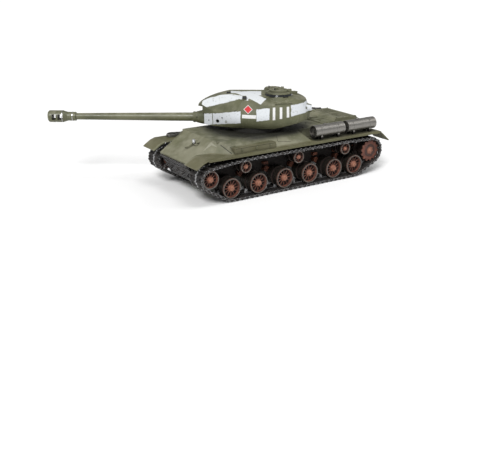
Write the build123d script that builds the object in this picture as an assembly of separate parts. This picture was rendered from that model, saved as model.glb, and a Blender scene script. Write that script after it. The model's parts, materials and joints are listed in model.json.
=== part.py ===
from build123d import *
import math
import os

# A radio-controlled model of a heavy tank. Lengths are millimetres. X points forward, Y to the
# tank's left and Z up, with the turret's axis at X = Y = 0. Heights in this file are above the
# ground; save() lowers every node by BELLY, so the origin is on the belly under the turret's axis.

BELLY = 29.0            # ground clearance
WALL = 2.5              # moulded shell thickness
RUN_FIT = 0.08          # radial clearance of a turning fit
AIR = 0.6               # gap between pieces that pass each other

# Hull
TUB_HALF = 50.0
TUB_TOP = 77.0
ROOF = 98.0
ROOF_HALF = 60.0
FENDER = 80.5
FENDER_PLATE = 1.6
FENDER_HALF = 96.6
SPONSON_HALF = 88.0
NOSE = (168.0, 65.0)
GLACIS_TOP = (117.5, ROOF)
REAR_SLOPE = ((-208.0, ROOF), (-236.0, FENDER))
RING_HOLE = 46.5

# Running gear
TRACK_Y = 75.6
LINKS = 82
LINK_WIDTH = 40.6
LINK_THICK = 3.5
CLEAT = 1.5
HORN = 7.0
HORN_GAP = 5.0
WHEEL_X = (109.0, 53.4, -2.2, -57.8, -113.4, -162.2)
WHEEL_RADIUS = 17.8
WHEEL_HALF = 15.1
ROLLER_X = (78.4, -33.6, -141.0)
ROLLER_Z = 56.5
ROLLER_RADIUS = 11.0
ROLLER_HALF = 13.0
IDLER = (150.2, 45.1)
IDLER_RADIUS = 15.6
SPROCKET = (-201.6, 44.6)
SPROCKET_PITCH = 22.9
TEETH = 14
TOOTH_Y = 13.0
TRACK_GAP = 0.75        # between the wheels' treads and the track
ARM_REACH = 17.0
ARM_RISE = 11.85
ARM_IN, ARM_OUT = 50.6, 59.9
PIVOT_PIN = 2.5
AXLE_PIN = 2.0
DRIVE_SHAFT = 3.0

# Turret and gun
TURRET_YAW = -34.8      # the gun looks over the right front fender at rest
TURRET_FLOOR = 107.0
TRUNNION_X = 66.0
GUN_Z = 116.5
ROTOR = 15.0
MANTLET_HALF = 13.4
BROW = 138.2            # underside of the turret's nose, over the mantlet
BARREL_FIT = 7.0
BORE = 3.8
MUZZLE = 376.3
CUPOLA = (-42.0, 17.0)
LOADER = (-32.0, -25.0)
DRUM_Z = 95.3
HATCH_SEAT = 163.8
CUPOLA_TOP = 166.5

# Turret drive
GEAR_MODULE = 1.5
RING_TEETH = 56
PINION_TEETH = 14
GEAR_Z = (84.0, 90.0)
RING_BORE = 38.0

# Belly hatch and battery
BAY_X = (-80.0, 62.0)
BAY_HALF = 22.6
HINGE = (-78.2, 30.4)
SCREW_X = (92.0, -122.0)
SCREW_Y = 42.0

LINK_MID = LINK_THICK / 2
WHEEL_Z = LINK_THICK + CLEAT + TRACK_GAP + WHEEL_RADIUS


def block(x, y, z):
    """Box between the given pairs of X, Y and Z."""
    middle = [(low + high) / 2 for low, high in (x, y, z)]
    return Pos(*middle) * Box(x[1] - x[0], y[1] - y[0], z[1] - z[0])


def rod_x(y, z, radius, x0, x1):
    return Pos((x0 + x1) / 2, y, z) * Rot(0, 90, 0) * Cylinder(radius, abs(x1 - x0))


def rod_y(x, z, radius, y0, y1):
    return Pos(x, (y0 + y1) / 2, z) * Rot(90, 0, 0) * Cylinder(radius, abs(y1 - y0))


def rod_z(x, y, radius, z0, z1):
    return Pos(x, y, (z0 + z1) / 2) * Cylinder(radius, abs(z1 - z0))


def side_face(points):
    """Side-view outline, drawn in X and Z."""
    return make_face(Polyline(*points, close=True))


def prism_y(face, y0, y1):
    """A side-view face given thickness from y0 to y1."""
    return Rot(90, 0, 0) * Pos(0, 0, -y1) * extrude(face, amount=y1 - y0)


def prism_x(face, x0, x1):
    """A front-view face, drawn in Y and Z, given length from x0 to x1."""
    return Plane.YZ.offset(x0).location * extrude(face, amount=x1 - x0)


def spun_y(points):
    """Solid of revolution about Y of an outline of (radius, y) points."""
    return revolve(make_face(Polyline(*points, close=True)), Axis.Y, 360)


def spun_x(points):
    """Solid of revolution about X of an outline of (x, radius) points."""
    return revolve(make_face(Polyline(*points, close=True)), Axis.X, 360)


def trimmed(shape, point, normal, inset=0.0):
    """What is left of a shape behind a plane that is moved inwards by inset."""
    plane = Plane(origin=point, z_dir=normal).offset(-inset)
    return split(shape, bisect_by=plane, keep=Keep.BOTTOM)


def mirrored(shape):
    return mirror(shape, Plane.XZ)


def both_sides(shape):
    return shape + mirrored(shape)


def turned(shape):
    """A turret piece, turned from the turret's own frame to its rest heading."""
    return Rot(0, 0, TURRET_YAW) * shape


def save(name, shape):
    solids = shape.solids()
    lowered = [Pos(0, 0, -BELLY) * solid for solid in solids]
    export_step(lowered[0] if len(lowered) == 1 else Compound(lowered), f"parts/{name}.step")


# ---------------------------------------------------------------- tracks

def belt_wire():
    """Line through the track's pins, in side view, round the whole running gear."""
    off = TRACK_GAP + LINK_MID
    sag = 0.35              # how far a straight link cuts inside a curve of the belt
    circles = [(*SPROCKET, SPROCKET_PITCH), (*IDLER, IDLER_RADIUS + off + sag)]
    circles += [(x, ROLLER_Z, ROLLER_RADIUS + off) for x in (ROLLER_X[0], ROLLER_X[-1])]
    circles += [(x, WHEEL_Z + sag, WHEEL_RADIUS + off + sag) for x in (WHEEL_X[0], WHEEL_X[-1])]
    return Wire.make_convex_hull([Edge.make_circle(r, Plane((x, z, 0))) for x, z, r in circles])


def belt_pins():
    wire = belt_wire()
    step = wire.length / LINKS
    pins = [wire.position_at(i * step, position_mode=PositionMode.LENGTH) for i in range(LINKS)]
    return [(p.X, p.Y) for p in pins], step


def track_link(pitch, horned):
    """One link from its own pin at X = 0 to the next pin; +Z is the inner side."""
    plate_end = 2.05
    half = LINK_WIDTH / 2
    groove = (TOOTH_Y - 1.7, TOOTH_Y + 1.7)
    middle_lug = 11.1
    side_lugs = ((15.0, half), (-half, -15.0))
    link = block((plate_end, pitch - plate_end), (-half, half), (-LINK_MID, LINK_MID))
    link += prism_y(side_face([(3.2, -LINK_MID), (3.9, -LINK_MID - CLEAT),
                               (6.3, -LINK_MID - CLEAT), (7.0, -LINK_MID)]), -half, half)
    link += rod_y(0, 0, LINK_MID, -middle_lug, middle_lug) + rod_y(0, 0, 0.6, -half, half)
    link += block((0, plate_end), (-middle_lug, middle_lug), (-LINK_MID, LINK_MID))
    for low, high in side_lugs:
        link += rod_y(pitch, 0, LINK_MID, low, high)
        link += block((pitch - plate_end, pitch), (low, high), (-LINK_MID, LINK_MID))
        link -= rod_y(pitch, 0, 0.85, low - 0.1, high + 0.1)
    for sign in (1, -1):
        sides = sorted((sign * groove[0], sign * groove[1]))
        link -= block((plate_end - 0.1, pitch - plate_end + 0.1), sides, (LINK_MID - 1.05, 2 * LINK_MID))
    if horned:
        link += prism_y(side_face([(2.4, LINK_MID - 0.1), (7.8, LINK_MID - 0.1),
                                   (6.2, LINK_MID + HORN), (4.2, LINK_MID + HORN)]), -1.8, 1.8)
    return link


def track():
    pins, pitch = belt_pins()
    kinds = (track_link(pitch, True), track_link(pitch, False))
    links = []
    for i, (x, z) in enumerate(pins):
        next_x, next_z = pins[(i + 1) % LINKS]
        slope = math.degrees(math.atan2(next_z - z, next_x - x))
        links.append(Pos(x, TRACK_Y, z) * Rot(0, -slope, 0) * kinds[i % 2])
    return Compound([link.solid() for link in links])


def spare_track_links():
    """Nine links laid across the lower bow plate, guide horns outwards."""
    pitch = belt_pins()[1]
    count = 9
    foot, head = (146.0, BELLY), (166.5, 63.0)
    middle = [(a + b) / 2 for a, b in zip(foot, head)]
    rise = math.degrees(math.atan2(head[1] - foot[1], head[0] - foot[0]))
    kinds = (track_link(pitch, True), track_link(pitch, False))
    plate = Pos(middle[0], 0, middle[1]) * Rot(0, -rise, 0)
    stand_off = LINK_MID + CLEAT
    glacis_room = block((140, 185), (-60, 60), (head[1] - 1.2, 80))
    links = []
    for i in range(count):
        seat = Pos(0.6, (i + 1 - count / 2) * pitch, -stand_off) * Rot(180, 0, 90)
        links.append((plate * seat * kinds[i % 2] - glacis_room).solid())
    return Compound(links)


# ---------------------------------------------------------------- wheels

def ribs(count, outline, thickness):
    """Radial ribs on a wheel's outer face, from an outline of (radius, y) points."""
    face = make_face(Polyline(*outline, close=True))
    rib = Pos(0, 0, -thickness / 2) * extrude(face, amount=thickness)
    return [Rot(0, i * 360 / count, 0) * rib for i in range(count)]


def double_wheel(radius, neck):
    """Two ribbed steel discs on one hub, with a gap between them for the guide horns."""
    gap = HORN_GAP / 2
    end = WHEEL_HALF
    rim = radius - 2.6
    outline = [(0, -end), (6.5, -end), (7.0, -9.0), (rim - 0.6, -9.0), (rim, -end),
               (radius, -end), (radius, -gap), (neck, -gap), (neck, gap), (radius, gap),
               (radius, end), (rim, end), (rim - 0.6, 9.0), (6.5, 7.5), (6.0, 14.2),
               (4.4, 16.6), (0, 17.3)]
    wheel = spun_y(outline)
    for rib in ribs(12, [(5.0, 7.0), (rim, 7.0), (rim, 12.2), (5.8, 13.2)], 1.3):
        wheel += rib
    return wheel


def road_wheel():
    return double_wheel(WHEEL_RADIUS, 8.0) - rod_y(0, 0, AXLE_PIN + RUN_FIT, -WHEEL_HALF - 1, 12.0)


def idler_wheel():
    return double_wheel(IDLER_RADIUS, 6.5) - rod_y(0, 0, PIVOT_PIN + RUN_FIT, -WHEEL_HALF - 1, 12.0)


def return_roller():
    gap = HORN_GAP / 2
    end = ROLLER_HALF
    radius = ROLLER_RADIUS
    roller = spun_y([(0, -end), (radius, -end), (radius, -gap), (3.4, -gap), (3.4, gap), (radius, gap),
                     (radius, end), (radius - 1.8, end), (radius - 2.4, 9.5), (4.2, 9.5), (4.0, end),
                     (2.8, end + 1.6), (0, end + 2.0)])
    for rib in ribs(8, [(3.0, 9.0), (radius - 2.0, 9.0), (radius - 2.0, 11.6), (3.9, 12.2)], 1.1):
        roller += rib
    return roller - rod_y(0, 0, AXLE_PIN + RUN_FIT, -end - 1, 10.5)


def tooth_ring(count, root, tip, foot, point):
    """Outline of a toothed ring, drawn in X and Y; foot and point are half widths of a tooth."""
    points = []
    for i in range(count):
        middle = 2 * math.pi * i / count
        for radius, half in ((root, -foot), (tip, -point), (tip, point), (root, foot)):
            angle = middle + half / radius
            points.append((radius * math.cos(angle), radius * math.sin(angle)))
    return make_face(Polyline(*points, close=True))


def sprocket():
    """Two toothed rings on a dished drum, with its drive shaft towards the hull."""
    ring_half = 1.2
    ring = tooth_ring(TEETH, 17.4, 21.1, 2.9, 0.7)
    drum = spun_y([(0, -WHEEL_HALF), (9.0, -WHEEL_HALF), (12.6, -TOOTH_Y), (12.6, TOOTH_Y + ring_half),
                   (11.2, WHEEL_HALF), (9.6, WHEEL_HALF), (7.0, 9.6), (5.2, 9.2), (4.6, 12.0),
                   (3.2, 13.4), (0, 13.8)])
    for side in (-1, 1):
        drum += prism_y(ring, side * TOOTH_Y - ring_half, side * TOOTH_Y + ring_half)
    drum += rod_y(0, 0, DRIVE_SHAFT, 30.0 - TRACK_Y, -WHEEL_HALF + 0.5)
    return drum


def sprocket_phase():
    """Turn that sets a tooth midway between the two rearmost pins."""
    pins = belt_pins()[0]
    angles = [math.degrees(math.atan2(z - SPROCKET[1], x - SPROCKET[0])) for x, z in pins
              if x < SPROCKET[0] and abs(math.hypot(x - SPROCKET[0], z - SPROCKET[1]) - SPROCKET_PITCH) < 0.2]
    nearest = sorted(angles, key=lambda a: abs(abs(a) - 180))[0]
    return nearest + 180 / TEETH


def swing_arm(wheel_x):
    pivot = (wheel_x + ARM_REACH, WHEEL_Z + ARM_RISE)
    axle = (wheel_x, WHEEL_Z)
    length = math.hypot(ARM_REACH, ARM_RISE)
    away = (-ARM_RISE / length, ARM_REACH / length)
    web = side_face([(pivot[0] + 4.6 * away[0], pivot[1] + 4.6 * away[1]),
                     (axle[0] + 4.0 * away[0], axle[1] + 4.0 * away[1]),
                     (axle[0] - 4.0 * away[0], axle[1] - 4.0 * away[1]),
                     (pivot[0] - 4.6 * away[0], pivot[1] - 4.6 * away[1])])
    arm = rod_y(*pivot, 5.0, ARM_IN, ARM_OUT - 0.5)
    arm += rod_y(*axle, 4.6, 53.0, ARM_OUT)
    arm += prism_y(web, 53.5, 58.5)
    arm += rod_y(*pivot, PIVOT_PIN, 43.0, ARM_IN)
    arm += rod_y(*axle, AXLE_PIN, ARM_OUT, TRACK_Y + 10.0)
    return arm


# ---------------------------------------------------------------- hull

def glacis_normal():
    run = NOSE[0] - GLACIS_TOP[0]
    rise = GLACIS_TOP[1] - NOSE[1]
    length = math.hypot(run, rise)
    return (rise / length, 0, run / length)


def on_glacis(x, y, lift=0.0):
    """Frame on the glacis with its Z along the outward normal."""
    normal = glacis_normal()
    z = NOSE[1] + (NOSE[0] - x) * normal[0] / normal[2]
    plane = Plane(origin=(x, y, z), x_dir=(normal[2], 0, -normal[0]), z_dir=normal)
    return plane.offset(lift)


def behind_glacis(shape, inset=0.0):
    return trimmed(shape, (NOSE[0], 0, NOSE[1]), glacis_normal(), inset)


def superstructure(inset, floor):
    """Hull above the fenders, with every outer face moved inwards by inset."""
    roof = ROOF - inset
    front = block((-66, NOSE[0]), (-SPONSON_HALF - 2, SPONSON_HALF + 2), (floor, roof))
    drop, spread = ROOF - FENDER, SPONSON_HALF - ROOF_HALF
    for sign in (1, -1):
        front = trimmed(front, (0, sign * ROOF_HALF, ROOF), (0, sign * drop, spread), inset)
        front = trimmed(front, (GLACIS_TOP[0], sign * 55, ROOF), (630, sign * 705, 844), inset)
    front = trimmed(front, (-50, 0, ROOF), (-drop, 0, 14), inset)
    rear = block((-240, GLACIS_TOP[0]), (inset - ROOF_HALF, ROOF_HALF - inset), (floor, roof))
    (top_x, top_z), (low_x, low_z) = REAR_SLOPE
    rear = trimmed(rear, (top_x, 0, top_z), (low_z - top_z, 0, top_x - low_x), inset)
    return behind_glacis(front + rear, inset)


def fender():
    """Left fender: flat plate, rounded mudguard in front and sloping flap behind."""
    top, low = FENDER, FENDER - FENDER_PLATE
    plate = block((-220.3, 140), (TUB_HALF - WALL, FENDER_HALF), (low, top))
    plate += block((139, 156.2), (55, FENDER_HALF), (low, top))
    guard = [(156, top), (165.7, 76.9), (172.6, 72.6), (179.5, 67.8),
             (178.6, 66.5), (171.7, 71.2), (164.9, 75.4), (155.5, low)]
    flap = [(-220.3, top), (-243.0, 60.8), (-241.9, 59.5), (-219.7, low)]
    plate += prism_y(side_face(guard), 55, FENDER_HALF)
    plate += prism_y(side_face(flap), 55, FENDER_HALF)
    plate += block((-219, 155), (FENDER_HALF - 1.2, FENDER_HALF), (low - 2.4, low + 0.1))
    return plate


def visor():
    """Raised driver's visor in the middle of the glacis."""
    hood = extrude(on_glacis(138, 3, -1.0) * Ellipse(9.5, 8.0), amount=5.2)
    slit = on_glacis(139.5, 3, 2.2) * Box(6.0, 9.0, 3.2)
    return hood - slit


def rear_covers():
    """Two round inspection covers and their hinges on the rear slope."""
    (top_x, top_z), (low_x, low_z) = REAR_SLOPE
    normal = (low_z - top_z, 0, top_x - low_x)
    covers = []
    for y in (-26, 26):
        seat = Plane(origin=((top_x + low_x) / 2, y, (top_z + low_z) / 2), z_dir=normal)
        covers.append(seat * Cylinder(13.0, 3.0))
        covers.append(seat.offset(1.5) * Cylinder(4.0, 1.6))
    return covers


def upper_hull():
    low = FENDER - FENDER_PLATE
    inside = TUB_HALF - WALL
    body = superstructure(0, low)
    body += behind_glacis(block((100, NOSE[0]), (-52, 52), (60, ROOF - 1)))
    body += block((-226, 120), (-TUB_HALF, TUB_HALF), (TUB_TOP, low + 0.1))
    body += both_sides(fender() + block((15, 100), (66, SPONSON_HALF), (low, 90.8)))
    body -= behind_glacis(block((100, NOSE[0] + 4), (-60, 60), (50, TUB_TOP)), WALL)
    body -= superstructure(WALL, FENDER)
    body -= behind_glacis(block((-223.5, NOSE[0]), (-inside, inside), (TUB_TOP - 1, FENDER + 1)), WALL)
    for piece in (visor(), *rear_covers()):
        body += piece
    body -= rod_z(0, 0, RING_HOLE, ROOF - 2 * WALL, ROOF + 1)
    body -= block((-200, -128), (-36, 36), (ROOF - 2 * WALL, ROOF + 1))
    for x in SCREW_X:
        for y in (-SCREW_Y, SCREW_Y):
            body += rod_z(x, y, 3.5, 48.1, ROOF - 1)
            body -= rod_z(x, y, 1.4, 48.0, 62.0)
    return body


def under_glacis(z):
    """X at height z on the underside of the glacis plate."""
    normal = glacis_normal()
    return NOSE[0] - (WALL + (z - NOSE[1]) * normal[2]) / normal[0]


def tub_face():
    nose_tip = 63.0
    return side_face([(146, BELLY), (under_glacis(nose_tip), nose_tip), (under_glacis(TUB_TOP), TUB_TOP),
                      (-226, TUB_TOP), (-226, 56), (-200, BELLY)])


def axle_mounts():
    """What stands out of the tub's sides: stub axles, final drive housings and bump stops."""
    stub_end = TRACK_Y + 9.0
    mounts = [rod_y(*IDLER, 7.0, TUB_HALF, ARM_OUT) + rod_y(*IDLER, PIVOT_PIN, ARM_OUT, stub_end),
              rod_y(*SPROCKET, 11.0, TUB_HALF, 58.0) - drive_hole()]
    for x in ROLLER_X:
        axle = rod_y(x, ROLLER_Z, 3.4, TUB_HALF, 62.0)
        mounts.append(axle + rod_y(x, ROLLER_Z, AXLE_PIN, 62.0, stub_end))
    for x in WHEEL_X:
        mounts.append(block((x + ARM_REACH - 5, x + ARM_REACH + 5), (TUB_HALF, 57.0), (43.5, 48.0)))
    solids = [mount.solid() for mount in mounts]
    return Compound(solids + [mirrored(solid) for solid in solids])


def drive_hole():
    return rod_y(*SPROCKET, DRIVE_SHAFT + RUN_FIT, TUB_HALF - 2 * WALL, 59.0)


def side_holes():
    """Bearing holes through the hull's left side."""
    holes = [drive_hole()]
    for x in WHEEL_X:
        pivot = (x + ARM_REACH, WHEEL_Z + ARM_RISE)
        holes.append(rod_y(*pivot, PIVOT_PIN + RUN_FIT, TUB_HALF - 2 * WALL, TUB_HALF + 1))
    return holes


def floor_fittings():
    """Battery tray, hinge lugs, board posts, switch bridge and screw bosses on the tub's floor."""
    floor = BELLY + WALL - 0.1
    bay_back = BAY_X[0]
    left = block((-70, 55), (BAY_HALF + 0.2, BAY_HALF + 2), (floor, 44))
    left += block((bay_back - 1, bay_back + 4.5), (BAY_HALF, 27), (floor, 33.5))
    for x in (76, 128):
        left += rod_z(x, 22, 2.5, floor, 37.5)
    for x in SCREW_X:
        left += rod_z(x, SCREW_Y, 4.0, floor, 48.0)
    bridge = block((102, 120), (29.8, 42.2), (floor, 35.4)) - block((100, 122), (31.2, 40.8), (floor, 33.5))
    return both_sides(left) + bridge


def tow_hook(x, y, z, reach):
    """Hook plate with an eye, standing out along X by reach."""
    plate = block((min(x, x + reach), max(x, x + reach)), (y - 1.5, y + 1.5), (z - 4, z + 4))
    return plate - rod_y(x + 0.6 * reach, z, 2.0, y - 2, y + 2)


def lower_hull():
    face = tub_face()
    inner = prism_y(offset(face, -WALL, kind=Kind.INTERSECTION), WALL - TUB_HALF, TUB_HALF - WALL)
    hull = prism_y(face, -TUB_HALF, TUB_HALF) - inner - Pos(0, 0, 3.2) * inner
    hull += floor_fittings()
    for y in (-32, 32):
        hull += tow_hook(-225.5, y, 64, -8.5)
    for hole in side_holes():
        hull = hull - hole - mirrored(hole)
    hull -= block(BAY_X, (-BAY_HALF, BAY_HALF), (BELLY - 1, BELLY + WALL + 1))
    for y in (-BAY_HALF, BAY_HALF):
        hull -= rod_y(*HINGE, 0.78, y - 3.6, y + 3.6)
    hull -= block((106, 116), (34, 38), (BELLY - 1, BELLY + WALL + 0.5))
    for y in range(-12, 13, 6):
        hull -= block((-114, -92), (y - 1, y + 1), (BELLY - 1, BELLY + WALL + 0.5))
    for x in SCREW_X:
        for y in (-SCREW_Y, SCREW_Y):
            hull -= rod_z(x, y, 1.6, BELLY - 1, 49)
            hull -= rod_z(x, y, 3.0, BELLY - 1, 33)
    return hull


def screws():
    """The four screws that pull the upper hull down on the tub."""
    found = []
    for x in SCREW_X:
        for y in (-SCREW_Y, SCREW_Y):
            screw = rod_z(x, y, 2.7, 30.2, 33) + rod_z(x, y, 1.35, 33, 60)
            screw -= block((x - 2.2, x + 2.2), (y - 0.4, y + 0.4), (30, 31))
            found.append(screw.solid())
    return Compound(found)


def engine_deck():
    """Raised deck cover with an engine hatch, a vent dome and air slots."""
    deck = block((-206, -118), (-46, 46), (ROOF, ROOF + 1.4))
    hump = side_face([(-206, ROOF + 1), (-204, 102.4), (-154, 103.6), (-149, ROOF + 1)])
    deck += prism_y(hump, -44, 44)
    deck += block((-146, -121), (-20, 20), (ROOF + 1, ROOF + 2.2)) + rod_z(-133.5, 0, 8.5, ROOF + 2, ROOF + 3.6)
    for i in range(7):
        x = -198 + 4.6 * i
        for y in (-37, 3):
            deck -= block((x, x + 2.2), (y, y + 34), (ROOF - 1, 106))
    return deck


def fuel_drums():
    """Two drums on saddles along the left fender, each with a dished front end."""
    drums = []
    for front, back in ((-72.0, -138.6), (-147.0, -214.0)):
        drum = rod_x(80, DRUM_Z, 11.0, back, front)
        drum -= rod_x(80, DRUM_Z, 9.6, front - 3.0, front + 1) + rod_x(80, DRUM_Z, 9.6, back - 1, back + 2.0)
        drum += rod_x(80, DRUM_Z, 2.0, front - 4.0, front - 1.0)
        for x in (front - 14, back + 14):
            drum += block((x - 2, x + 2), (71, 89), (FENDER, 88))
            drum -= block((x - 3, x + 3), (76, 84), (FENDER - 1, 84))
        drums.append(drum.solid())
    return Compound(drums)


def headlight():
    """Headlight bowl, its lens and the horn on one bracket, on the glacis."""
    x, y, z = 134.0, 14.0, 93.2
    lens = rod_x(y, z, 2.9, x + 1.8, x + 2.8)
    bowl = rod_x(y, z, 3.6, x - 3, x + 3) + rod_z(x, y, 1.4, 88.8, z - 2) - rod_x(y, z, 2.9, x + 1.8, x + 4)
    horn = rod_x(y + 6.5, z - 1, 2.3, x - 3, x + 1.5) + rod_z(x, y + 5.5, 1.2, 88.8, z - 2)
    foot = on_glacis(x, y + 3) * Pos(0, 0, 1.2) * Box(5.0, 11.0, 2.4)
    return Compound([(foot + bowl + horn).solid(), lens.solid()])


# ---------------------------------------------------------------- inside the hull

def drive_units():
    """A gearbox and a motor for each track."""
    case = side_face([(-172, 33), (-172, 62), (-216, 62), (-216, 50), (-198, 33)])
    gearbox = prism_y(case, 22, 46) - rod_y(*SPROCKET, DRIVE_SHAFT + RUN_FIT, 29, 47)
    motor = rod_x(34, 48, 10.5, -172, -141) + rod_x(34, 48, 3.5, -141, -138)
    left = [gearbox.solid(), motor.solid()]
    return Compound(left + [mirrored(solid) for solid in left])


def battery_pack():
    return fillet(block((-68, 52), (-21, 21), (32, 56)).edges().filter_by(Axis.X), 3.0)


def battery_hatch():
    low, high = HINGE[1] - 1.1, HINGE[1] + 1.1
    half = BAY_HALF - 0.5
    hatch = block((HINGE[0], BAY_X[1] - AIR), (-half, half), (low, high)) + rod_y(*HINGE, 1.1, -half, half)
    hatch += rod_y(*HINGE, 0.7, -half - 3.2, half + 3.2)
    return hatch - rod_y(BAY_X[1] - 3.0, low - 0.6, 1.8, -8, 8)


def power_switch():
    stem = block((106.6, 110.2), (34.4, 37.6), (29.4, 31.8))
    return stem + block((103.6, 113.2), (31.6, 40.4), (31.65, 33.2))


def electronics():
    """Receiver and motor controller board on its four posts, and the sound speaker."""
    board = block((72, 132), (-26, 26), (37.5, 39.1))
    parts = (((78, 92), (-8, 8), 42.5), ((98, 108), (-20, -8), 41.0), ((98, 112), (4, 18), 44.0),
             ((118, 128), (-22, 22), 47.0))
    for x, y, top in parts:
        board += block(x, y, (39, top))
    return Compound([board.solid(), speaker().solid()])


def speaker():
    cone = rod_z(-103, 0, 17.0, BELLY + WALL, 36.5) + rod_z(-103, 0, 9.0, 36, 43)
    return cone - Pos(-103, 0, BELLY + WALL + 1.4) * Cone(14.0, 8.0, 2.8)


# ---------------------------------------------------------------- turret drive

def turret_ring_gear():
    """Turning collar with the toothed ring that the pinion drives, under the turret floor."""
    low, high = GEAR_Z
    pitch = GEAR_MODULE * RING_TEETH / 2
    teeth = extrude(tooth_ring(RING_TEETH, pitch - 1.9, pitch + 1.3, 1.55, 0.45), amount=high - low)
    ring = Pos(0, 0, low) * teeth + rod_z(0, 0, pitch - 2.0, high - 1, high + 1)
    ring += rod_z(0, 0, RING_HOLE - 0.5, high + 0.4, TURRET_FLOOR)
    ring += rod_z(0, 0, 50.0, ROOF + 0.5, TURRET_FLOOR)
    return ring - rod_z(0, 0, RING_BORE, low - 1, TURRET_FLOOR + 1)


def pinion_x():
    return -GEAR_MODULE * (RING_TEETH + PINION_TEETH) / 2


def traverse_pinion():
    low, high = GEAR_Z
    pitch = GEAR_MODULE * PINION_TEETH / 2
    teeth = extrude(tooth_ring(PINION_TEETH, pitch - 1.8, pitch + 1.3, 1.5, 0.4), amount=high - low)
    gear = Pos(pinion_x(), 0, low) * Rot(0, 0, 180 / PINION_TEETH) * teeth
    return gear + rod_z(pinion_x(), 0, 1.5, 71.0, high)


def traverse_motor():
    x = pinion_x()
    motor = rod_z(x, 0, 11.0, 60, 81) + rod_z(x, 0, 5.0, 81, 83)
    motor += block((x - 19.5, x - 5), (-9, 9), (62, 66)) + block((x - 19.5, x - 13.5), (-9, 9), (62, ROOF - WALL))
    return motor - rod_z(x, 0, 1.5 + RUN_FIT, 70, 84)


# ---------------------------------------------------------------- turret

TURRET_SECTIONS = (
    (TURRET_FLOOR, [(102, 20), (69, 31), (40, 44), (9, 50.5), (-30, 54), (-62, 45), (-85, 27)], -91),
    (128.0, [(102, 21), (69, 34), (40, 50), (5, 60), (-33, 62), (-70, 51), (-92, 30)], -99),
    (150.0, [(102, 21), (69, 33), (40, 41), (5, 47), (-30, 51), (-62, 43), (-84, 28)], -92),
    (167.0, [(102, 20), (69, 31), (40, 36), (5, 40), (-30, 43), (-60, 36), (-78, 24)], -85),
)
CHEEK = ((75.0, 30.5, 120.0), (0.652, 0.758, 0.0))          # point and outward normal
NOSE_FACET = ((73.0, 31.0, 134.5), (0.377, 0.711, 0.593))


def turret_section(height, half_widths, rear, inset):
    """Horizontal section: a straight front edge and a smooth curve round the sides and rear."""
    shrink_x, shrink_y = 1 - inset / 88, 1 - inset / 52
    left = [(x * shrink_x, y * shrink_y, height) for x, y in half_widths]
    right = [(x, -y, z) for x, y, z in reversed(left)]
    curve = Spline(*left, (rear * shrink_x, 0, height), *right)
    return make_face([curve.edge(), Line(right[-1], left[0]).edge()])


def turret_top(inset):
    """Everything under the roof: a lengthwise profile crossed with an arched one."""
    length = [Spline((102, 140.0), (96, 145.5), (80, 153.8), (64, 158.8), (48, 161.6), (26, 163.6), (0, 164.4),
                     (-25, 163.4), (-60, 158.8), (-85, 152.5), (-108, 146.0)).edge(),
              Polyline((-108, 146.0), (-108, 90), (104, 90), (104, 139.5), (102, 140.0)).edges()]
    side = make_face([length[0], *length[1]])
    arch = ThreePointArc((-66, 135.4), (0, 164.6), (66, 135.4)).edge()
    front = make_face([arch, *Polyline((66, 135.4), (66, 90), (-66, 90), (-66, 135.4)).edges()])
    return Pos(0, 0, -inset) * (prism_y(side, -80, 80) & prism_x(front, -110, 106))


def turret_solid(inset=0.0):
    sections = [turret_section(max(height, TURRET_FLOOR + inset), widths, rear, inset)
                for height, widths, rear in TURRET_SECTIONS]
    body = loft(sections) & turret_top(inset)
    for point, (x, y, z) in (CHEEK, NOSE_FACET):
        for side in (1, -1):
            body = trimmed(body, (point[0], side * point[1], point[2]), (x, side * y, z), inset)
    return trimmed(body, (-32, 0, TURRET_FLOOR), (-13, 0, -66), inset)


def hatch_seats():
    """Ring for the loader's hatch, and its hinge ears."""
    x, y = LOADER
    seat = rod_z(x, y, 16.0, 150, HATCH_SEAT)
    for side in (-6, 6):
        seat += block((x - 20.5, x - 15.0), (y + side - 1.2, y + side + 1.2), (150, HATCH_SEAT + 2.6))
    return seat - rod_y(x - 18.5, HATCH_SEAT + 1.2, 0.75 + RUN_FIT, y - 9, y + 9)


def roof_fittings():
    """Two periscope heads, a ventilator and the pistol port plugs."""
    pieces = [block((x - 3.5, x + 3.5), (y - 2.2, y + 2.2), (150, top))
              for x, y, top in ((47, 3, 163.0), (18.5, 38, 158.8))]
    pieces.append(rod_z(-70, -18, 7.0, 150, 160.0))
    return pieces


def turret_shell():
    shell = turret_solid() + hatch_seats()
    for piece in roof_fittings():
        shell += piece
    cavity = turret_solid(WALL)
    shell -= cavity
    shell -= rod_z(0, 0, RING_BORE, TURRET_FLOOR - 1, TURRET_FLOOR + 2 * WALL)
    slot = MANTLET_HALF + AIR
    shell -= block((49, 106), (-slot, slot), (100, BROW)) + block((91, 106), (-40, 40), (100, 127))
    for y in (slot, -slot - 5.4):
        shell += block((60, 72), (y, y + 5.4), (TURRET_FLOOR, 123))
    shell -= rod_y(TRUNNION_X, GUN_Z, 3.0 + RUN_FIT, -40, 40)
    shell -= rod_z(*CUPOLA, 18.0, 140, 165) + rod_z(*LOADER, 12.5, 140, 165)
    mount = spun_x([(-92, 0), (-92, 9), (-97, 8), (-101.5, 6.5), (-101.5, 0)])
    return shell + Pos(0, 14, 136) * mount


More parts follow.
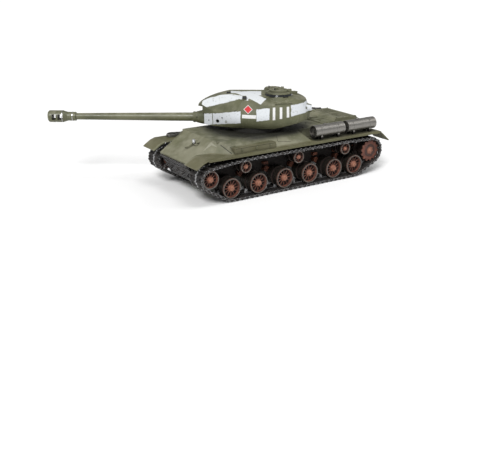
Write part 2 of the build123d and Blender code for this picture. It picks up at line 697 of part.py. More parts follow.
def cupola():
    """Cone-sided cupola with six vision slots and hinge ears for its hatch."""
    x, y = CUPOLA
    height = CUPOLA_TOP - 148
    ring = Pos(x, y, 148 + height / 2) * Cone(29.0, 22.0, height)
    ring += rod_z(x, y, 18.5, CUPOLA_TOP - 1, CUPOLA_TOP + 1.2)
    for side in (-6, 6):
        ring += block((x - 23, x - 16.5), (y + side - 1.2, y + side + 1.2), (163, CUPOLA_TOP + 3.4))
    ring -= rod_y(x - 20.5, CUPOLA_TOP + 2.2, 0.75 + RUN_FIT, y - 9, y + 9)
    for i in range(6):
        ring -= Pos(x, y, 160.5) * Rot(0, 0, 60 * i) * Pos(26, 0, 0) * Box(7.0, 11.0, 3.4)
    return ring - turret_solid() - rod_z(x, y, 14.0, 140, CUPOLA_TOP + 4)


def round_hatch(centre, seat, radius, barrel_x, barrel_z):
    """Round lid on its seat, with a hinge barrel between the ears behind it."""
    x, y = centre
    lid = rod_z(x, y, radius, seat, seat + 2.0)
    lid += block((barrel_x, x - radius + 3), (y - 4.0, y + 4.0), (seat + 0.2, seat + 2.0))
    lid += rod_y(barrel_x, barrel_z, 1.3, y - 4.0, y + 4.0) + rod_y(barrel_x, barrel_z, 0.75, y - 7.2, y + 7.2)
    return lid


def commander_hatch():
    x, y = CUPOLA
    seat = CUPOLA_TOP + 1.2
    lid = round_hatch(CUPOLA, seat, 17.0, x - 20.5, CUPOLA_TOP + 2.2)
    return lid + rod_z(x + 4, y, 4.2, seat + 1, seat + 3.2) + block((x + 1, x + 7), (y - 2, y + 2), (seat + 3, seat + 5.0))


def loader_hatch():
    x = LOADER[0]
    lid = round_hatch(LOADER, HATCH_SEAT, 14.5, x - 18.5, HATCH_SEAT + 1.2)
    return lid + block((x - 4, x + 4), (LOADER[1] + 6, LOADER[1] + 8), (HATCH_SEAT + 1.5, HATCH_SEAT + 3.4))


def mantlet():
    """Gun shield: a rotor between the cheeks, a blunt nose and the barrel's collar."""
    back = Plane(origin=(TRUNNION_X, 0, GUN_Z), x_dir=(0, 1, 0), z_dir=(1, 0, 0))
    width = 2 * MANTLET_HALF
    nose = loft([back * RectangleRounded(width, 24.0, 6.0), back.offset(20) * RectangleRounded(width, 25.0, 8.0),
                 back.offset(37) * RectangleRounded(width - 3, 20.0, 9.0)])
    shield = nose + rod_y(TRUNNION_X, GUN_Z, ROTOR, -MANTLET_HALF, MANTLET_HALF)
    shield += rod_x(0, GUN_Z, 10.4, 100, 105) + rod_x(0, GUN_Z, 9.5, 104, 112)
    pin = MANTLET_HALF + AIR + 5.0
    shield += rod_y(TRUNNION_X, GUN_Z, 3.0, -pin, pin)
    return shield - rod_x(0, GUN_Z, BARREL_FIT, 76, 113)


def gun_barrel():
    shoulder, end = 112.0, MUZZLE - 35.4
    barrel = spun_x([(76, 0), (76, BARREL_FIT), (shoulder, BARREL_FIT), (shoulder, 7.75), (150, 7.5),
                     (end - 15, 5.9), (end, 5.9), (end, 0)])
    return Pos(0, 0, GUN_Z) * (barrel - rod_x(0, 0, BORE, 130, end + 1))


def muzzle_brake():
    """Double-baffle brake: collar, flare and a drum with ports through both sides."""
    end = MUZZLE - 35.4
    brake = spun_x([(end - 15, 5.9), (end, 5.9), (end, BORE), (MUZZLE, BORE), (MUZZLE, 8.6),
                    (MUZZLE - 2.4, 10.75), (MUZZLE - 27, 10.75), (end, 8.0), (end - 15, 8.0)])
    brake -= rod_x(0, 0, 7.6, MUZZLE - 15, MUZZLE - 7.5) + rod_x(0, 0, 7.6, MUZZLE - 27.5, MUZZLE - 18)
    for low, high in ((-15, -7.5), (-27.5, -18)):
        brake -= block((MUZZLE + low, MUZZLE + high), (-12, 12), (-5.2, 5.2))
    return Pos(0, 0, GUN_Z) * brake


def elevation_motor():
    """Elevation servo and its crank on the turret floor, beside the gun."""
    floor = TURRET_FLOOR + WALL
    servo = block((28, 44), (-30, -22), (floor, 127))
    return servo + rod_y(38, 121, 2.6, -22, -20) + block((36.4, 39.6), (-20.4, -18.6), (112, 123))


# ---------------------------------------------------------------- write the nodes

def running_gear():
    """Left-hand pieces by name, in place."""
    pieces = {"track": track(),
              "idler": Pos(IDLER[0], TRACK_Y, IDLER[1]) * idler_wheel(),
              "sprocket": Pos(SPROCKET[0], TRACK_Y, SPROCKET[1]) * Rot(0, -sprocket_phase(), 0) * sprocket()}
    wheel, roller = road_wheel(), return_roller()
    for i, x in enumerate(WHEEL_X, 1):
        pieces[f"road_wheel_{i}"] = Pos(x, TRACK_Y, WHEEL_Z) * wheel
        pieces[f"swing_arm_{i}"] = swing_arm(x)
    for i, x in enumerate(ROLLER_X, 1):
        pieces[f"return_roller_{i}"] = Pos(x, TRACK_Y, ROLLER_Z) * roller
    return pieces


def main():
    os.makedirs("parts", exist_ok=True)
    for name, piece in running_gear().items():
        save(f"left_{name}", piece)
        save(f"right_{name}", Compound([mirrored(solid) for solid in piece.solids()]))
    hull_nodes = (lower_hull, axle_mounts, upper_hull, engine_deck, fuel_drums, headlight, spare_track_links,
                  screws, drive_units, battery_pack, battery_hatch, power_switch, electronics,
                  traverse_motor, traverse_pinion, turret_ring_gear)
    for build in hull_nodes:
        save(build.__name__, build())
    turret_nodes = (turret_shell, cupola, commander_hatch, loader_hatch, mantlet, gun_barrel,
                    muzzle_brake, elevation_motor)
    for build in turret_nodes:
        save(build.__name__, turned(build()))


main()
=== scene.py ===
import json
import math
import random

import bmesh
import bpy
from mathutils import Matrix, Vector
from mathutils.bvhtree import BVHTree


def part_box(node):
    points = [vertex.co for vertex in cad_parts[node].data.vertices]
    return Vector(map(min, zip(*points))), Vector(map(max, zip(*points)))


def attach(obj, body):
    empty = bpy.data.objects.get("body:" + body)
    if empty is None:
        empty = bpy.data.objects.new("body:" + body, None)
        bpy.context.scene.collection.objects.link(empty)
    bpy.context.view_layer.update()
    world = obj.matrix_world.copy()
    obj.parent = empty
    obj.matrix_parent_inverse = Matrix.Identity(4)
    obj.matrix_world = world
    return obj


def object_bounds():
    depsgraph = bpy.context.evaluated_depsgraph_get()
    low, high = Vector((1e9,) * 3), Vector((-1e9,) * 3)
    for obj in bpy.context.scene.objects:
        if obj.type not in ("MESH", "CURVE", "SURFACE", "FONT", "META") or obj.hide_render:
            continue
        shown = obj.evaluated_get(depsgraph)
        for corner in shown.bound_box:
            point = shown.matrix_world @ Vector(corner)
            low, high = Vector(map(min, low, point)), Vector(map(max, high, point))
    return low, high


# The looks of a radio-controlled tank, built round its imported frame. Everything is in metres,
# in the frame's own axes: X forward, Y to the tank's left, Z up, with the belly at Z = 0.

MM = 0.001
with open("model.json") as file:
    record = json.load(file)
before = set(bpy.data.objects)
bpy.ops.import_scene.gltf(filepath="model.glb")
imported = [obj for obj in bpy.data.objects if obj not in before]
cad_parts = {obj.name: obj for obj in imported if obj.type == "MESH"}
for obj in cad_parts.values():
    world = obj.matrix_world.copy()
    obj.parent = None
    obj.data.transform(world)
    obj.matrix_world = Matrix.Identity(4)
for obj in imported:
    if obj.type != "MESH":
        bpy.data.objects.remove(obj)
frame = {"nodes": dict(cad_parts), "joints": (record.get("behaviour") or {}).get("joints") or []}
cad_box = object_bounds()
nodes = frame["nodes"]
joints = {joint["name"]: joint for joint in frame["joints"]}
scene = bpy.context.scene
chance = random.Random(16)

SIDES = (("left", 1), ("right", -1))
WHEELS = ["idler"] + [f"road_wheel_{i}" for i in range(1, 7)]
ROLLERS = [f"return_roller_{i}" for i in range(1, 4)]

GROUND = cad_box[0].z
TRACK_Y = joints["left_sprocket_spin"]["pos_m"][1]
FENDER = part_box("fuel_drums")[0].z
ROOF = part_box("engine_deck")[0].z
DOWN = Vector((0, 0, -1))

turret_left = -Vector(joints["gun_elevation"]["axis"])
turret_forward = turret_left.cross(Vector((0, 0, 1)))
TURRET_YAW = math.atan2(turret_forward.y, turret_forward.x)
GUN_Z = joints["gun_elevation"]["pos_m"][2]


def on_turret(x, y, z):
    """Point given in the turret's own axes, in millimetres, with Z above the belly."""
    return (turret_forward * x + turret_left * y + Vector((0, 0, z))) * MM


# ---------------------------------------------------------------- materials

OLIVE = (0.098, 0.099, 0.052)
OLIVE_DEEP = (0.052, 0.055, 0.026)
OLIVE_WORN = (0.240, 0.228, 0.165)
DUST = (0.36, 0.34, 0.27)
WHITEWASH = (0.47, 0.49, 0.51)
SIGNAL_RED = (0.42, 0.012, 0.015)
RUST = (0.150, 0.050, 0.030)
RUST_PALE = (0.34, 0.140, 0.080)
RUST_DEEP = (0.070, 0.022, 0.014)
RUST_SHADE = (0.010, 0.007, 0.006)
TUB_HOLLOW_SHADE = (0.012, 0.011, 0.010)
GRIME_AND_SHADE = (0.018, 0.018, 0.011)
STEEL = (0.56, 0.56, 0.57)
GUNMETAL = (0.275, 0.265, 0.245)
GUNMETAL_DULL = (0.200, 0.192, 0.178)
PLAIN_WHITE = (0.54, 0.54, 0.53)
ROOF_WHITE = (0.52, 0.54, 0.55)
BOW_LIT = (0.270, 0.262, 0.205)
CAST_LIT = (0.260, 0.250, 0.190)
FENDER_BROWN = (0.070, 0.062, 0.024)
TURRET_SHADE = (0.006, 0.006, 0.004)
DRUM_SHADE = (0.016, 0.014, 0.009)
DRUM_STAIN = (0.115, 0.070, 0.040)
DRUM_EDGE = (0.55, 0.54, 0.52)
DRUM_HOLLOW_SHADE = (0.008, 0.007, 0.006)
SADDLE_SHADE = (0.012, 0.010, 0.008)
LINK_AND_SHADE_BLACK = (0.006, 0.005, 0.005)
MUD_BROWN = (0.030, 0.019, 0.014)
LINK_BROWN = (0.026, 0.021, 0.018)
LINK_BRIGHT = (0.62, 0.62, 0.63)
WHEEL_BACK_SHADE = (0.014, 0.010, 0.009)
WELL_SHADE = (0.022, 0.010, 0.008)
RIM_STEEL = (0.20, 0.17, 0.15)
TREAD_DIRT = (0.020, 0.018, 0.014)
FITTING_DEEP = (0.080, 0.024, 0.014)
FITTING_PALE = (0.200, 0.066, 0.034)


class Look:
    """One material's node tree; each shorthand adds nodes and returns an output socket."""

    def __init__(self, name):
        self.material = bpy.data.materials.new(name)
        self.material.use_nodes = True
        self.tree = self.material.node_tree
        self.shader = self.tree.nodes["Principled BSDF"]
        self.object = self.add("ShaderNodeTexCoord").outputs["Object"]

    def add(self, kind, inputs=(), **settings):
        """A new node with its settings made, and its inputs linked or set."""
        made = self.tree.nodes.new(kind)
        for name, value in settings.items():
            setattr(made, name, value)
        for key, value in dict(inputs).items():
            if isinstance(value, bpy.types.NodeSocket):
                self.tree.links.new(value, made.inputs[key])
            else:
                made.inputs[key].default_value = value
        return made

    def math(self, operation, a, b=0.0):
        return self.add("ShaderNodeMath", {0: a, 1: b}, operation=operation).outputs[0]

    def times(self, product, *factors):
        """Everything given, multiplied together."""
        for factor in factors:
            product = self.math("MULTIPLY", product, factor)
        return product

    def plus(self, total, *terms):
        """Everything given, added up."""
        for term in terms:
            total = self.math("ADD", total, term)
        return total

    def minus(self, a, b):
        return self.math("SUBTRACT", a, b)

    def absolute(self, value):
        return self.math("ABSOLUTE", value)

    def ramp(self, value, low, high):
        """0 at low and 1 at high, with a soft step between; low may be the larger."""
        made = self.add("ShaderNodeMapRange", {"Value": value, "From Min": low, "From Max": high},
                        interpolation_type="SMOOTHSTEP")
        return made.outputs["Result"]

    def noise(self, scale, detail=3.0, rough=0.55, vector=None):
        made = self.add("ShaderNodeTexNoise", {"Vector": vector or self.object, "Scale": scale,
                                               "Detail": detail, "Roughness": rough})
        return made.outputs["Fac"]

    def stretched(self, x, y, z):
        """The object's coordinates, scaled along each axis."""
        return self.add("ShaderNodeMapping", {"Vector": self.object, "Scale": (x, y, z)}).outputs[0]

    def mix(self, share, a, b):
        """Colour a where share is 0 and colour b where it is 1."""
        made = self.tree.nodes.new("ShaderNodeMix")
        made.data_type = "RGBA"
        factor, from_colour, to_colour, result = made.inputs[0], made.inputs[6], made.inputs[7], made.outputs[2]
        for socket, value in ((factor, share), (from_colour, a), (to_colour, b)):
            self.give(socket, value)
        return result

    def give(self, socket, value):
        """Links a socket to value, or sets it to a number or a colour."""
        if isinstance(value, bpy.types.NodeSocket):
            self.tree.links.new(value, socket)
        else:
            socket.default_value = (*value, 1.0) if isinstance(value, tuple) else value

    def axes(self, vector=None):
        return self.add("ShaderNodeSeparateXYZ", {0: vector or self.object}).outputs

    def normals(self):
        """The true shape's outward direction, as its three axes."""
        return self.axes(self.add("ShaderNodeTexCoord").outputs["Normal"])

    def within(self, value, low, high, soft):
        """1 where value is between low and high, fading over soft."""
        return self.times(self.ramp(value, low - soft, low + soft), self.ramp(value, high + soft, high - soft))

    def edges(self, radius):
        """1 on the rounded corners of the shape, 0 on its flats."""
        rounded = self.add("ShaderNodeBevel", {"Radius": radius}, samples=6).outputs[0]
        true = self.add("ShaderNodeNewGeometry").outputs["Normal"]
        along = self.add("ShaderNodeVectorMath", {0: rounded, 1: true}, operation="DOT_PRODUCT").outputs["Value"]
        return self.ramp(along, 0.995, 0.90)

    def hollows(self, reach):
        """Mask for painted shade: 1 deep in corners and under overhangs, 0 in the open."""
        light = self.add("ShaderNodeAmbientOcclusion", {"Distance": reach}, samples=8).outputs["AO"]
        return self.ramp(light, 0.85, 0.25)

    def bump(self, height, strength, distance):
        return self.add("ShaderNodeBump", {"Height": height, "Strength": strength,
                                           "Distance": distance}).outputs[0]

    def finish(self, colour, roughness, metallic=0.0, normal=None):
        for key, value in (("Base Color", colour), ("Roughness", roughness), ("Metallic", metallic),
                           ("Normal", normal)):
            if value is not None:
                self.give(self.shader.inputs[key], value)
        return self.material


def olive_paint(name, grain=0.35, grain_scale=1400, marks=None, wear=0.75, tone=None, sheen=0.0):
    """Weathered olive armour: mottled paint, pale edges, dust on top, and grime with painted shade in the hollows.
    """
    look = Look(name)
    broad = look.noise(14, 3)
    fine = look.noise(240, 5, 0.65)
    colour = look.mix(look.ramp(broad, 0.28, 0.62), OLIVE_DEEP, OLIVE)
    colour = look.mix(look.times(look.ramp(fine, 0.50, 0.78), 0.22), colour, OLIVE_WORN)

    up = look.normals()[2]
    patches = look.ramp(look.noise(60, 5, 0.6), 0.38, 0.66)
    colour = look.mix(look.times(look.ramp(up, 0.35, 0.95), patches, 0.26), colour, DUST)
    streaks = look.ramp(look.noise(1.0, 4, 0.6, look.stretched(420, 420, 26)), 0.56, 0.74)
    upright = look.ramp(look.absolute(up), 0.75, 0.3)
    colour = look.mix(look.times(streaks, upright, 0.14), colour, DUST)
    if tone:
        colour = tone(look, colour)
    if marks:
        for mask, paint in marks(look):
            colour = look.mix(mask, colour, paint)

    worn = look.times(look.edges(0.55 * MM), look.ramp(look.noise(500, 4), 0.32, 0.62), wear)
    colour = look.mix(worn, colour, OLIVE_WORN)
    # Grime and painted shade: darkened where ambient occlusion finds corners and overhangs.
    colour = look.mix(look.times(look.hollows(7 * MM), 0.72), colour, GRIME_AND_SHADE)
    rough = look.minus(look.ramp(fine, -0.6, 1.25), sheen)
    skin = look.plus(look.noise(grain_scale, 4, 0.6), look.noise(grain_scale / 6, 3))
    look.shader.inputs["Specular IOR Level"].default_value = 0.42
    return look.finish(colour, rough, 0.0, look.bump(skin, grain, 0.25 * MM))


def bow_light_tones(look, colour):
    """Painted light: paler paint on the cast bow's corners, as where they catch the light."""
    return look.mix(0.55, colour, BOW_LIT)


def hull_tones(look, colour):
    """Painted light on the cast bow and side plates where they face forward and sideways, browner fenders, and
    painted shadow under the turret and round the drums.
    """
    x, y, z = look.axes()
    normal = look.normals()
    beside = look.absolute(y)

    # Painted light: faces turned forward, and side plates above the fenders turned sideways, are made paler as if
    # lit.
    bow = look.ramp(normal[0], 0.25, 0.5)
    flank = look.times(look.ramp(look.absolute(normal[1]), 0.35, 0.6), look.ramp(z, 51.5 * MM, 53 * MM))
    pale = look.times(look.math("MAXIMUM", bow, flank), look.ramp(look.noise(24, 3), 0.2, 0.7), 0.42)
    colour = look.mix(pale, colour, CAST_LIT)

    fender = look.times(look.ramp(z, 53.5 * MM, 52.4 * MM), look.ramp(beside, 57 * MM, 62 * MM))
    chest = look.times(look.within(x, 14 * MM, 101 * MM, 0.5 * MM), look.ramp(beside, 78 * MM, 79 * MM))
    colour = look.mix(look.times(look.math("MAXIMUM", fender, chest), 0.55), colour, FENDER_BROWN)

    # Painted shadow of the turret: the deck near black within a disc round the turret's middle.
    out = look.math("SQRT", look.plus(look.times(x, x), look.times(y, y)))
    turret_shadow = look.times(look.ramp(out, 106 * MM, 74 * MM), look.ramp(z, 60 * MM, 67 * MM), 0.93)
    colour = look.mix(turret_shadow, colour, TURRET_SHADE)
    # Painted shadow round the fuel drums on the left fender.
    drum_shadow = look.times(look.within(x, -216 * MM, -70 * MM, 3 * MM), look.within(y, 60 * MM, 92 * MM, 4 * MM))
    return look.mix(look.times(drum_shadow, 0.75), colour, DRUM_SHADE)


# The turret's painted areas, in millimetres in its own axes, with Z above the belly.
BAND_ALONG = ((24.5, 74.3), (75.6, 92), (-26, -3.3), (-106, -63.5))  # stretches, by x
BAND_CREST = (112, 0.125, 0.45)                                      # height at x = 0, slope, curl
BAND_FOOT = (92.5, 0.145, 0.30)
BARS = ((-36, -31.6, 95.4, 116), (-48.2, -43.8, 97.3, 115.8),        # low and high x, low and high z
        (-60.4, -56, 99.1, 116.2), (-2.5, 22, 97.6, 103.4))
DIAMOND = (11.5, 112, 7.0)                                           # x, z and half its width
ROOF_CROSS = ((math.radians(-15.6), 37.8, 5.5, 0, 88),               # turn, offset, half width, start, end
              (0.0, 15, 11, -11, 25),
              (math.radians(-36), 26, 8.5, -38, 40))


def turret_marks(look):
    """Whitewash band round the turret and cross over its roof, with plain marks on both sides."""
    turned = look.add("ShaderNodeVectorRotate", {"Vector": look.object, "Angle": -TURRET_YAW},
                      rotation_type="Z_AXIS").outputs[0]
    x, y, z = look.axes(turned)
    ragged = look.times(look.minus(look.noise(130, 4, 0.6), 0.5), 3.2 * MM)
    loose_x, loose_y, loose_z = (look.plus(axis, ragged) for axis in (x, y, z))
    up = look.normals()[2]
    scuffs = look.ramp(look.noise(320, 6, 0.7), 0.30, 0.42)
    wall = look.times(look.ramp(up, 0.88, 0.78), scuffs)
    roof = look.times(look.ramp(up, 0.42, 0.52), scuffs)

    def past(line):
        """0 below a sloping, curling line round the turret, and 1 above it."""
        height, slope, curl = line
        level = look.plus(loose_z, look.times(x, slope), look.times(x, x, curl))
        return look.ramp(level, (height - 0.4) * MM, (height + 0.4) * MM)

    found = []
    band = look.times(look.minus(1.0, past(BAND_CREST)), past(BAND_FOOT), wall)
    for low, high in BAND_ALONG:
        found.append((look.times(look.within(loose_x, low * MM, high * MM, 0.5 * MM), band), WHITEWASH))
    for low, high, bottom, top in BARS:
        mask = look.times(look.within(x, low * MM, high * MM, 0.2 * MM),
                          look.within(z, bottom * MM, top * MM, 0.2 * MM), wall)
        found.append((mask, PLAIN_WHITE))
    for turn, away, half, low, high in ROOF_CROSS:
        cos, sin = math.cos(turn), math.sin(turn)
        ahead = look.plus(look.times(loose_x, cos), look.times(loose_y, sin))
        aside = look.minus(look.times(loose_y, cos), look.times(loose_x, sin))
        mask = look.times(look.within(ahead, low * MM, high * MM, 0.5 * MM),
                          look.within(aside, (away - half) * MM, (away + half) * MM, 0.5 * MM), roof)
        found.append((mask, ROOF_WHITE))

    centre_x, centre_z, half = DIAMOND
    off_x, off_z = look.absolute(look.minus(x, centre_x * MM)), look.absolute(look.minus(z, centre_z * MM))
    spread = look.plus(off_x, look.times(off_z, 1.15))
    side = look.ramp(look.absolute(y), 20 * MM, 24 * MM)
    for reach, paint in ((half + 1.1, PLAIN_WHITE), (half, SIGNAL_RED)):
        found.append((look.times(look.ramp(spread, (reach + 0.15) * MM, (reach - 0.15) * MM), side), paint))
    return found


def track_metal(name, side):
    """Blackened links with bright corners, cleats, pin ends and guide horns."""
    look = Look(name)
    y = look.axes()[1]
    across = look.absolute(look.minus(y, side * TRACK_Y))
    speckle = look.noise(520, 4, 0.7)
    patches = look.noise(70, 4, 0.6)
    colour = look.mix(look.ramp(patches, 0.35, 0.7), LINK_AND_SHADE_BLACK, LINK_BROWN)
    outer = look.plus(0.12, look.times(look.ramp(across, 17.2 * MM, 18.8 * MM), 0.88))
    corner = look.times(look.edges(0.4 * MM), outer, look.ramp(speckle, 0.36, 0.50))
    ends = look.times(look.ramp(across, 19.8 * MM, 20.2 * MM), look.ramp(speckle, 0.58, 0.66), 0.6)
    horn = look.times(look.ramp(across, 2.3 * MM, 1.7 * MM), look.ramp(speckle, 0.38, 0.5), 0.8)
    bright = look.math("MAXIMUM", look.math("MAXIMUM", corner, ends), horn)
    colour = look.mix(bright, colour, LINK_BRIGHT)
    rough = look.minus(0.62, look.times(bright, 0.30))
    metal = look.plus(0.25, look.times(bright, 0.75))
    return look.finish(colour, rough, metal, look.bump(speckle, 0.5, 0.2 * MM))


def wheel_paint(name, centre, radius, hub, sign, toothed):
    """Rust-brown cast wheel seen from its own centre: steel rim, painted shade in the hollows, on the inner face and
    in the sprocket's dish, and a rubbed hub.
    """
    look = Look(name)
    offset = look.add("ShaderNodeVectorMath", {0: look.object, 1: tuple(centre)}, operation="SUBTRACT").outputs[0]
    x, y, z = look.axes(offset)
    out = look.math("SQRT", look.plus(look.times(x, x), look.times(z, z)))
    speckle = look.noise(600, 5, 0.7)
    colour = look.mix(look.ramp(look.noise(160, 4), 0.36, 0.66), RUST_DEEP, RUST)
    # Mask for painted shade on the wheel's inner face, towards the hull.
    inner = look.ramp(look.times(y, sign), 9.5 * MM, 7.5 * MM)
    rubbed = look.times(look.ramp(out, hub * 1.15, hub * 0.35), look.ramp(speckle, 0.30, 0.62))
    rubbed = look.math("MAXIMUM", rubbed, look.times(look.edges(0.35 * MM), 0.45))
    colour = look.mix(look.times(rubbed, 0.8), colour, RUST_PALE)
    # Painted shade in the hollows, then on the inner face.
    colour = look.mix(look.times(look.hollows(6 * MM), 0.95), colour, RUST_SHADE)
    colour = look.mix(look.times(inner, 0.9), colour, WHEEL_BACK_SHADE)
    if toothed:
        # Painted shade in the sprocket's sunken dish.
        well = look.within(out, 0.30 * radius, 0.60 * radius, 0.6 * MM)
        colour = look.mix(look.times(well, 0.8), colour, WELL_SHADE)
    rim = look.times(look.ramp(out, radius - 0.75 * MM, radius - 0.45 * MM),
                    look.ramp(speckle, 0.32, 0.5))
    tread = look.ramp(out, radius - 0.12 * MM, radius - 0.04 * MM)
    colour = look.mix(look.times(rim, 0.5), colour, RIM_STEEL)
    colour = look.mix(look.times(tread, 0.9), colour, TREAD_DIRT)
    metal = look.times(rim, 0.8)
    rough = look.minus(0.68, look.times(rim, 0.25))
    return look.finish(colour, rough, metal, look.bump(speckle, 0.4, 0.2 * MM))


def tub_paint(name):
    """Lower tub: olive with worn edges and painted shade in its hollows; between the wheels, near-black painted
    shade flecked with brown.
    """
    look = Look(name)
    x, y, _ = look.axes()
    grain = look.noise(420, 5, 0.65)
    colour = look.mix(look.ramp(look.noise(30, 4), 0.35, 0.68), OLIVE_DEEP, OLIVE)
    # Painted shade: near black on the tub's sides between the wheels, flecked with brown.
    flank = look.times(look.ramp(look.absolute(y), 49.4 * MM, 49.9 * MM),
                      look.ramp(x, -214 * MM, -206 * MM))
    mud_and_shade = look.mix(look.ramp(grain, 0.35, 0.75), LINK_AND_SHADE_BLACK, MUD_BROWN)
    colour = look.mix(look.times(look.edges(0.5 * MM), 0.5), colour, OLIVE_WORN)
    colour = look.mix(flank, colour, mud_and_shade)
    # Painted shade in the hollows.
    colour = look.mix(look.times(look.hollows(8 * MM), 0.7), colour, TUB_HOLLOW_SHADE)
    return look.finish(colour, 0.78, 0.0, look.bump(grain, 0.35, 0.25 * MM))


def rusty_paint(name):
    """Rust-brown fittings between the wheels, with painted shade in their hollows."""
    look = Look(name)
    speckle = look.noise(500, 5, 0.7)
    colour = look.mix(look.ramp(look.noise(90, 4), 0.35, 0.65), FITTING_DEEP, FITTING_PALE)
    colour = look.mix(look.times(look.edges(0.5 * MM), 0.6), colour, RUST_PALE)
    # Painted shade in the hollows.
    colour = look.mix(look.times(look.hollows(8 * MM), 0.85), colour, RUST_SHADE)
    return look.finish(colour, 0.7, 0.0, look.bump(speckle, 0.4, 0.2 * MM))


def brushed_drum(name):
    """Bare drum skin, brushed in rings round its axis, with brown stains, and painted shade low down, on the saddles
    and in the hollows.
    """
    look = Look(name)
    rings = look.noise(1.0, 4, 0.6, look.stretched(1500, 18, 18))
    stains = look.noise(75, 5, 0.65)
    colour = look.mix(look.ramp(rings, 0.32, 0.68), GUNMETAL_DULL, GUNMETAL)
    colour = look.mix(look.times(look.ramp(stains, 0.50, 0.78), 0.35), colour, DRUM_STAIN)
    colour = look.mix(look.times(look.edges(0.4 * MM), 0.7), colour, DRUM_EDGE)
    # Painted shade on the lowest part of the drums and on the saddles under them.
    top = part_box("fuel_drums")[1].z
    saddle_shade = look.ramp(look.axes()[2], top - 19.5 * MM, top - 21.5 * MM)
    colour = look.mix(look.times(saddle_shade, 0.93), colour, SADDLE_SHADE)
    # Painted shade in the hollows.
    colour = look.mix(look.times(look.hollows(9 * MM), 0.93), colour, DRUM_HOLLOW_SHADE)
    rough = look.plus(0.28, look.times(rings, 0.22))
    return look.finish(colour, rough, 0.9, look.bump(rings, 0.25, 0.06 * MM))


def plain(name, dark, light, roughness, metallic=0.0, scale=300, grain=0.15):
    """Moulded or bare stock with faint mottling and a fine grain."""
    look = Look(name)
    mottled = look.noise(scale, 4, 0.6)
    colour = look.mix(look.ramp(mottled, 0.3, 0.7), dark, light)
    rough = look.plus(roughness - 0.06, look.times(mottled, 0.12))
    return look.finish(colour, rough, metallic, look.bump(look.noise(scale * 5, 3), grain, 0.08 * MM))


def lamp_glass(name):
    """Clear lens with upright flutes."""
    look = Look(name)
    flutes = look.math("SINE", look.times(look.axes()[1], 5200.0))
    look.shader.inputs["Specular IOR Level"].default_value = 0.8
    look.shader.inputs["Coat Weight"].default_value = 0.6
    tint = look.mix(look.ramp(flutes, -1, 1), (0.58, 0.60, 0.60), (0.80, 0.82, 0.82))
    return look.finish(tint, 0.12, 0.35, look.bump(flutes, 0.5, 0.1 * MM))


def copper_board(name):
    """Green lacquer over traces, seen only with the hull open."""
    look = Look(name)
    lines = look.add("ShaderNodeTexBrick", {"Vector": look.object, "Scale": 120.0, "Mortar Size": 0.03,
                                            "Color1": (0.01, 0.10, 0.04, 1), "Color2": (0.012, 0.13, 0.05, 1),
                                            "Mortar": (0.30, 0.26, 0.08, 1)}).outputs["Color"]
    return look.finish(look.mix(look.ramp(look.noise(400), 0.3, 0.7), lines, (0.012, 0.11, 0.045)), 0.35)


def make_materials():
    """Every finish, by the name the other functions call it."""
    made = {
        "hull": olive_paint("hull_paint", 0.22, tone=hull_tones),
        "turret": olive_paint("turret_paint", 0.55, 900, turret_marks),
        "bow": olive_paint("bow_lit_paint", 0.22, tone=bow_light_tones),
        "armour": olive_paint("cast_armour_paint", 0.5, 900),
        "barrel": olive_paint("barrel_paint", 0.12, 2200, wear=0.9, sheen=0.22),
        "fittings": rusty_paint("running_gear_paint"),
        "tub": tub_paint("tub_paint"),
        "drum": brushed_drum("brushed_drum"),
        "steel": plain("bare_steel", (0.34, 0.34, 0.35), STEEL, 0.36, 1.0, 500),
        "dark_steel": plain("dark_steel", (0.030, 0.028, 0.026), (0.085, 0.080, 0.074), 0.50, 0.8, 500),
        "black": plain("black_plastic", (0.010, 0.010, 0.011), (0.022, 0.022, 0.024), 0.45),
        # Near black for dark seams, and painted shade: on the turret ring gear, and on the discs and slit that stand
        # for holes.
        "gap": plain("seam_and_shade_black", (0.004, 0.004, 0.003), (0.012, 0.011, 0.008), 0.9),
        "vision": plain("vision_block", (0.006, 0.007, 0.008), (0.016, 0.018, 0.020), 0.10),
        "nylon": plain("nylon_gear", (0.62, 0.60, 0.53), (0.74, 0.72, 0.65), 0.42),
        "can": plain("motor_can", (0.40, 0.40, 0.42), (0.58, 0.58, 0.60), 0.30, 1.0, 700),
        "wrap": plain("battery_wrap", (0.020, 0.060, 0.210), (0.034, 0.095, 0.300), 0.28),
        "board": copper_board("circuit_board"),
        "glass": lamp_glass("lamp_glass"),
        "hub": plain("hub_paint", (0.130, 0.046, 0.026), (0.300, 0.130, 0.078), 0.55, 0.0, 420, 0.4),
        "rim": plain("worn_rim", (0.045, 0.034, 0.028), (0.190, 0.165, 0.145), 0.42, 0.5, 700, 0.3),
        "wood": plain("tool_handle", (0.105, 0.060, 0.028), (0.190, 0.120, 0.062), 0.65, 0.0, 260, 0.3),
        "wire": plain("braided_wire", (0.060, 0.056, 0.050), (0.240, 0.235, 0.225), 0.42, 0.85, 900, 0.5),
    }
    for side, sign in SIDES:
        made[f"{side}_track"] = track_metal(f"{side}_track_metal", sign)
    return made


# ---------------------------------------------------------------- mesh helpers

def piece(name, bm, body, material, angle=35):
    """Turns a bmesh into a shown piece that rides on a body."""
    bmesh.ops.recalc_face_normals(bm, faces=bm.faces)
    mesh = bpy.data.meshes.new(name)
    bm.to_mesh(mesh)
    bm.free()
    mesh.shade_smooth()
    mesh.set_sharp_from_angle(angle=math.radians(angle))
    mesh.materials.append(material)
    thing = bpy.data.objects.new(name, mesh)
    scene.collection.objects.link(thing)
    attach(thing, body)
    return thing


def facing(normal, towards=None):
    """Rotation whose Z lies along normal, and whose X is as near as can be to towards."""
    z = Vector(normal).normalized()
    x = Vector(towards) if towards else (Vector((1, 0, 0)) if abs(z.x) < 0.9 else Vector((0, 1, 0)))
    x = (x - z * x.dot(z)).normalized()
    return Matrix((x, z.cross(x), z)).transposed()


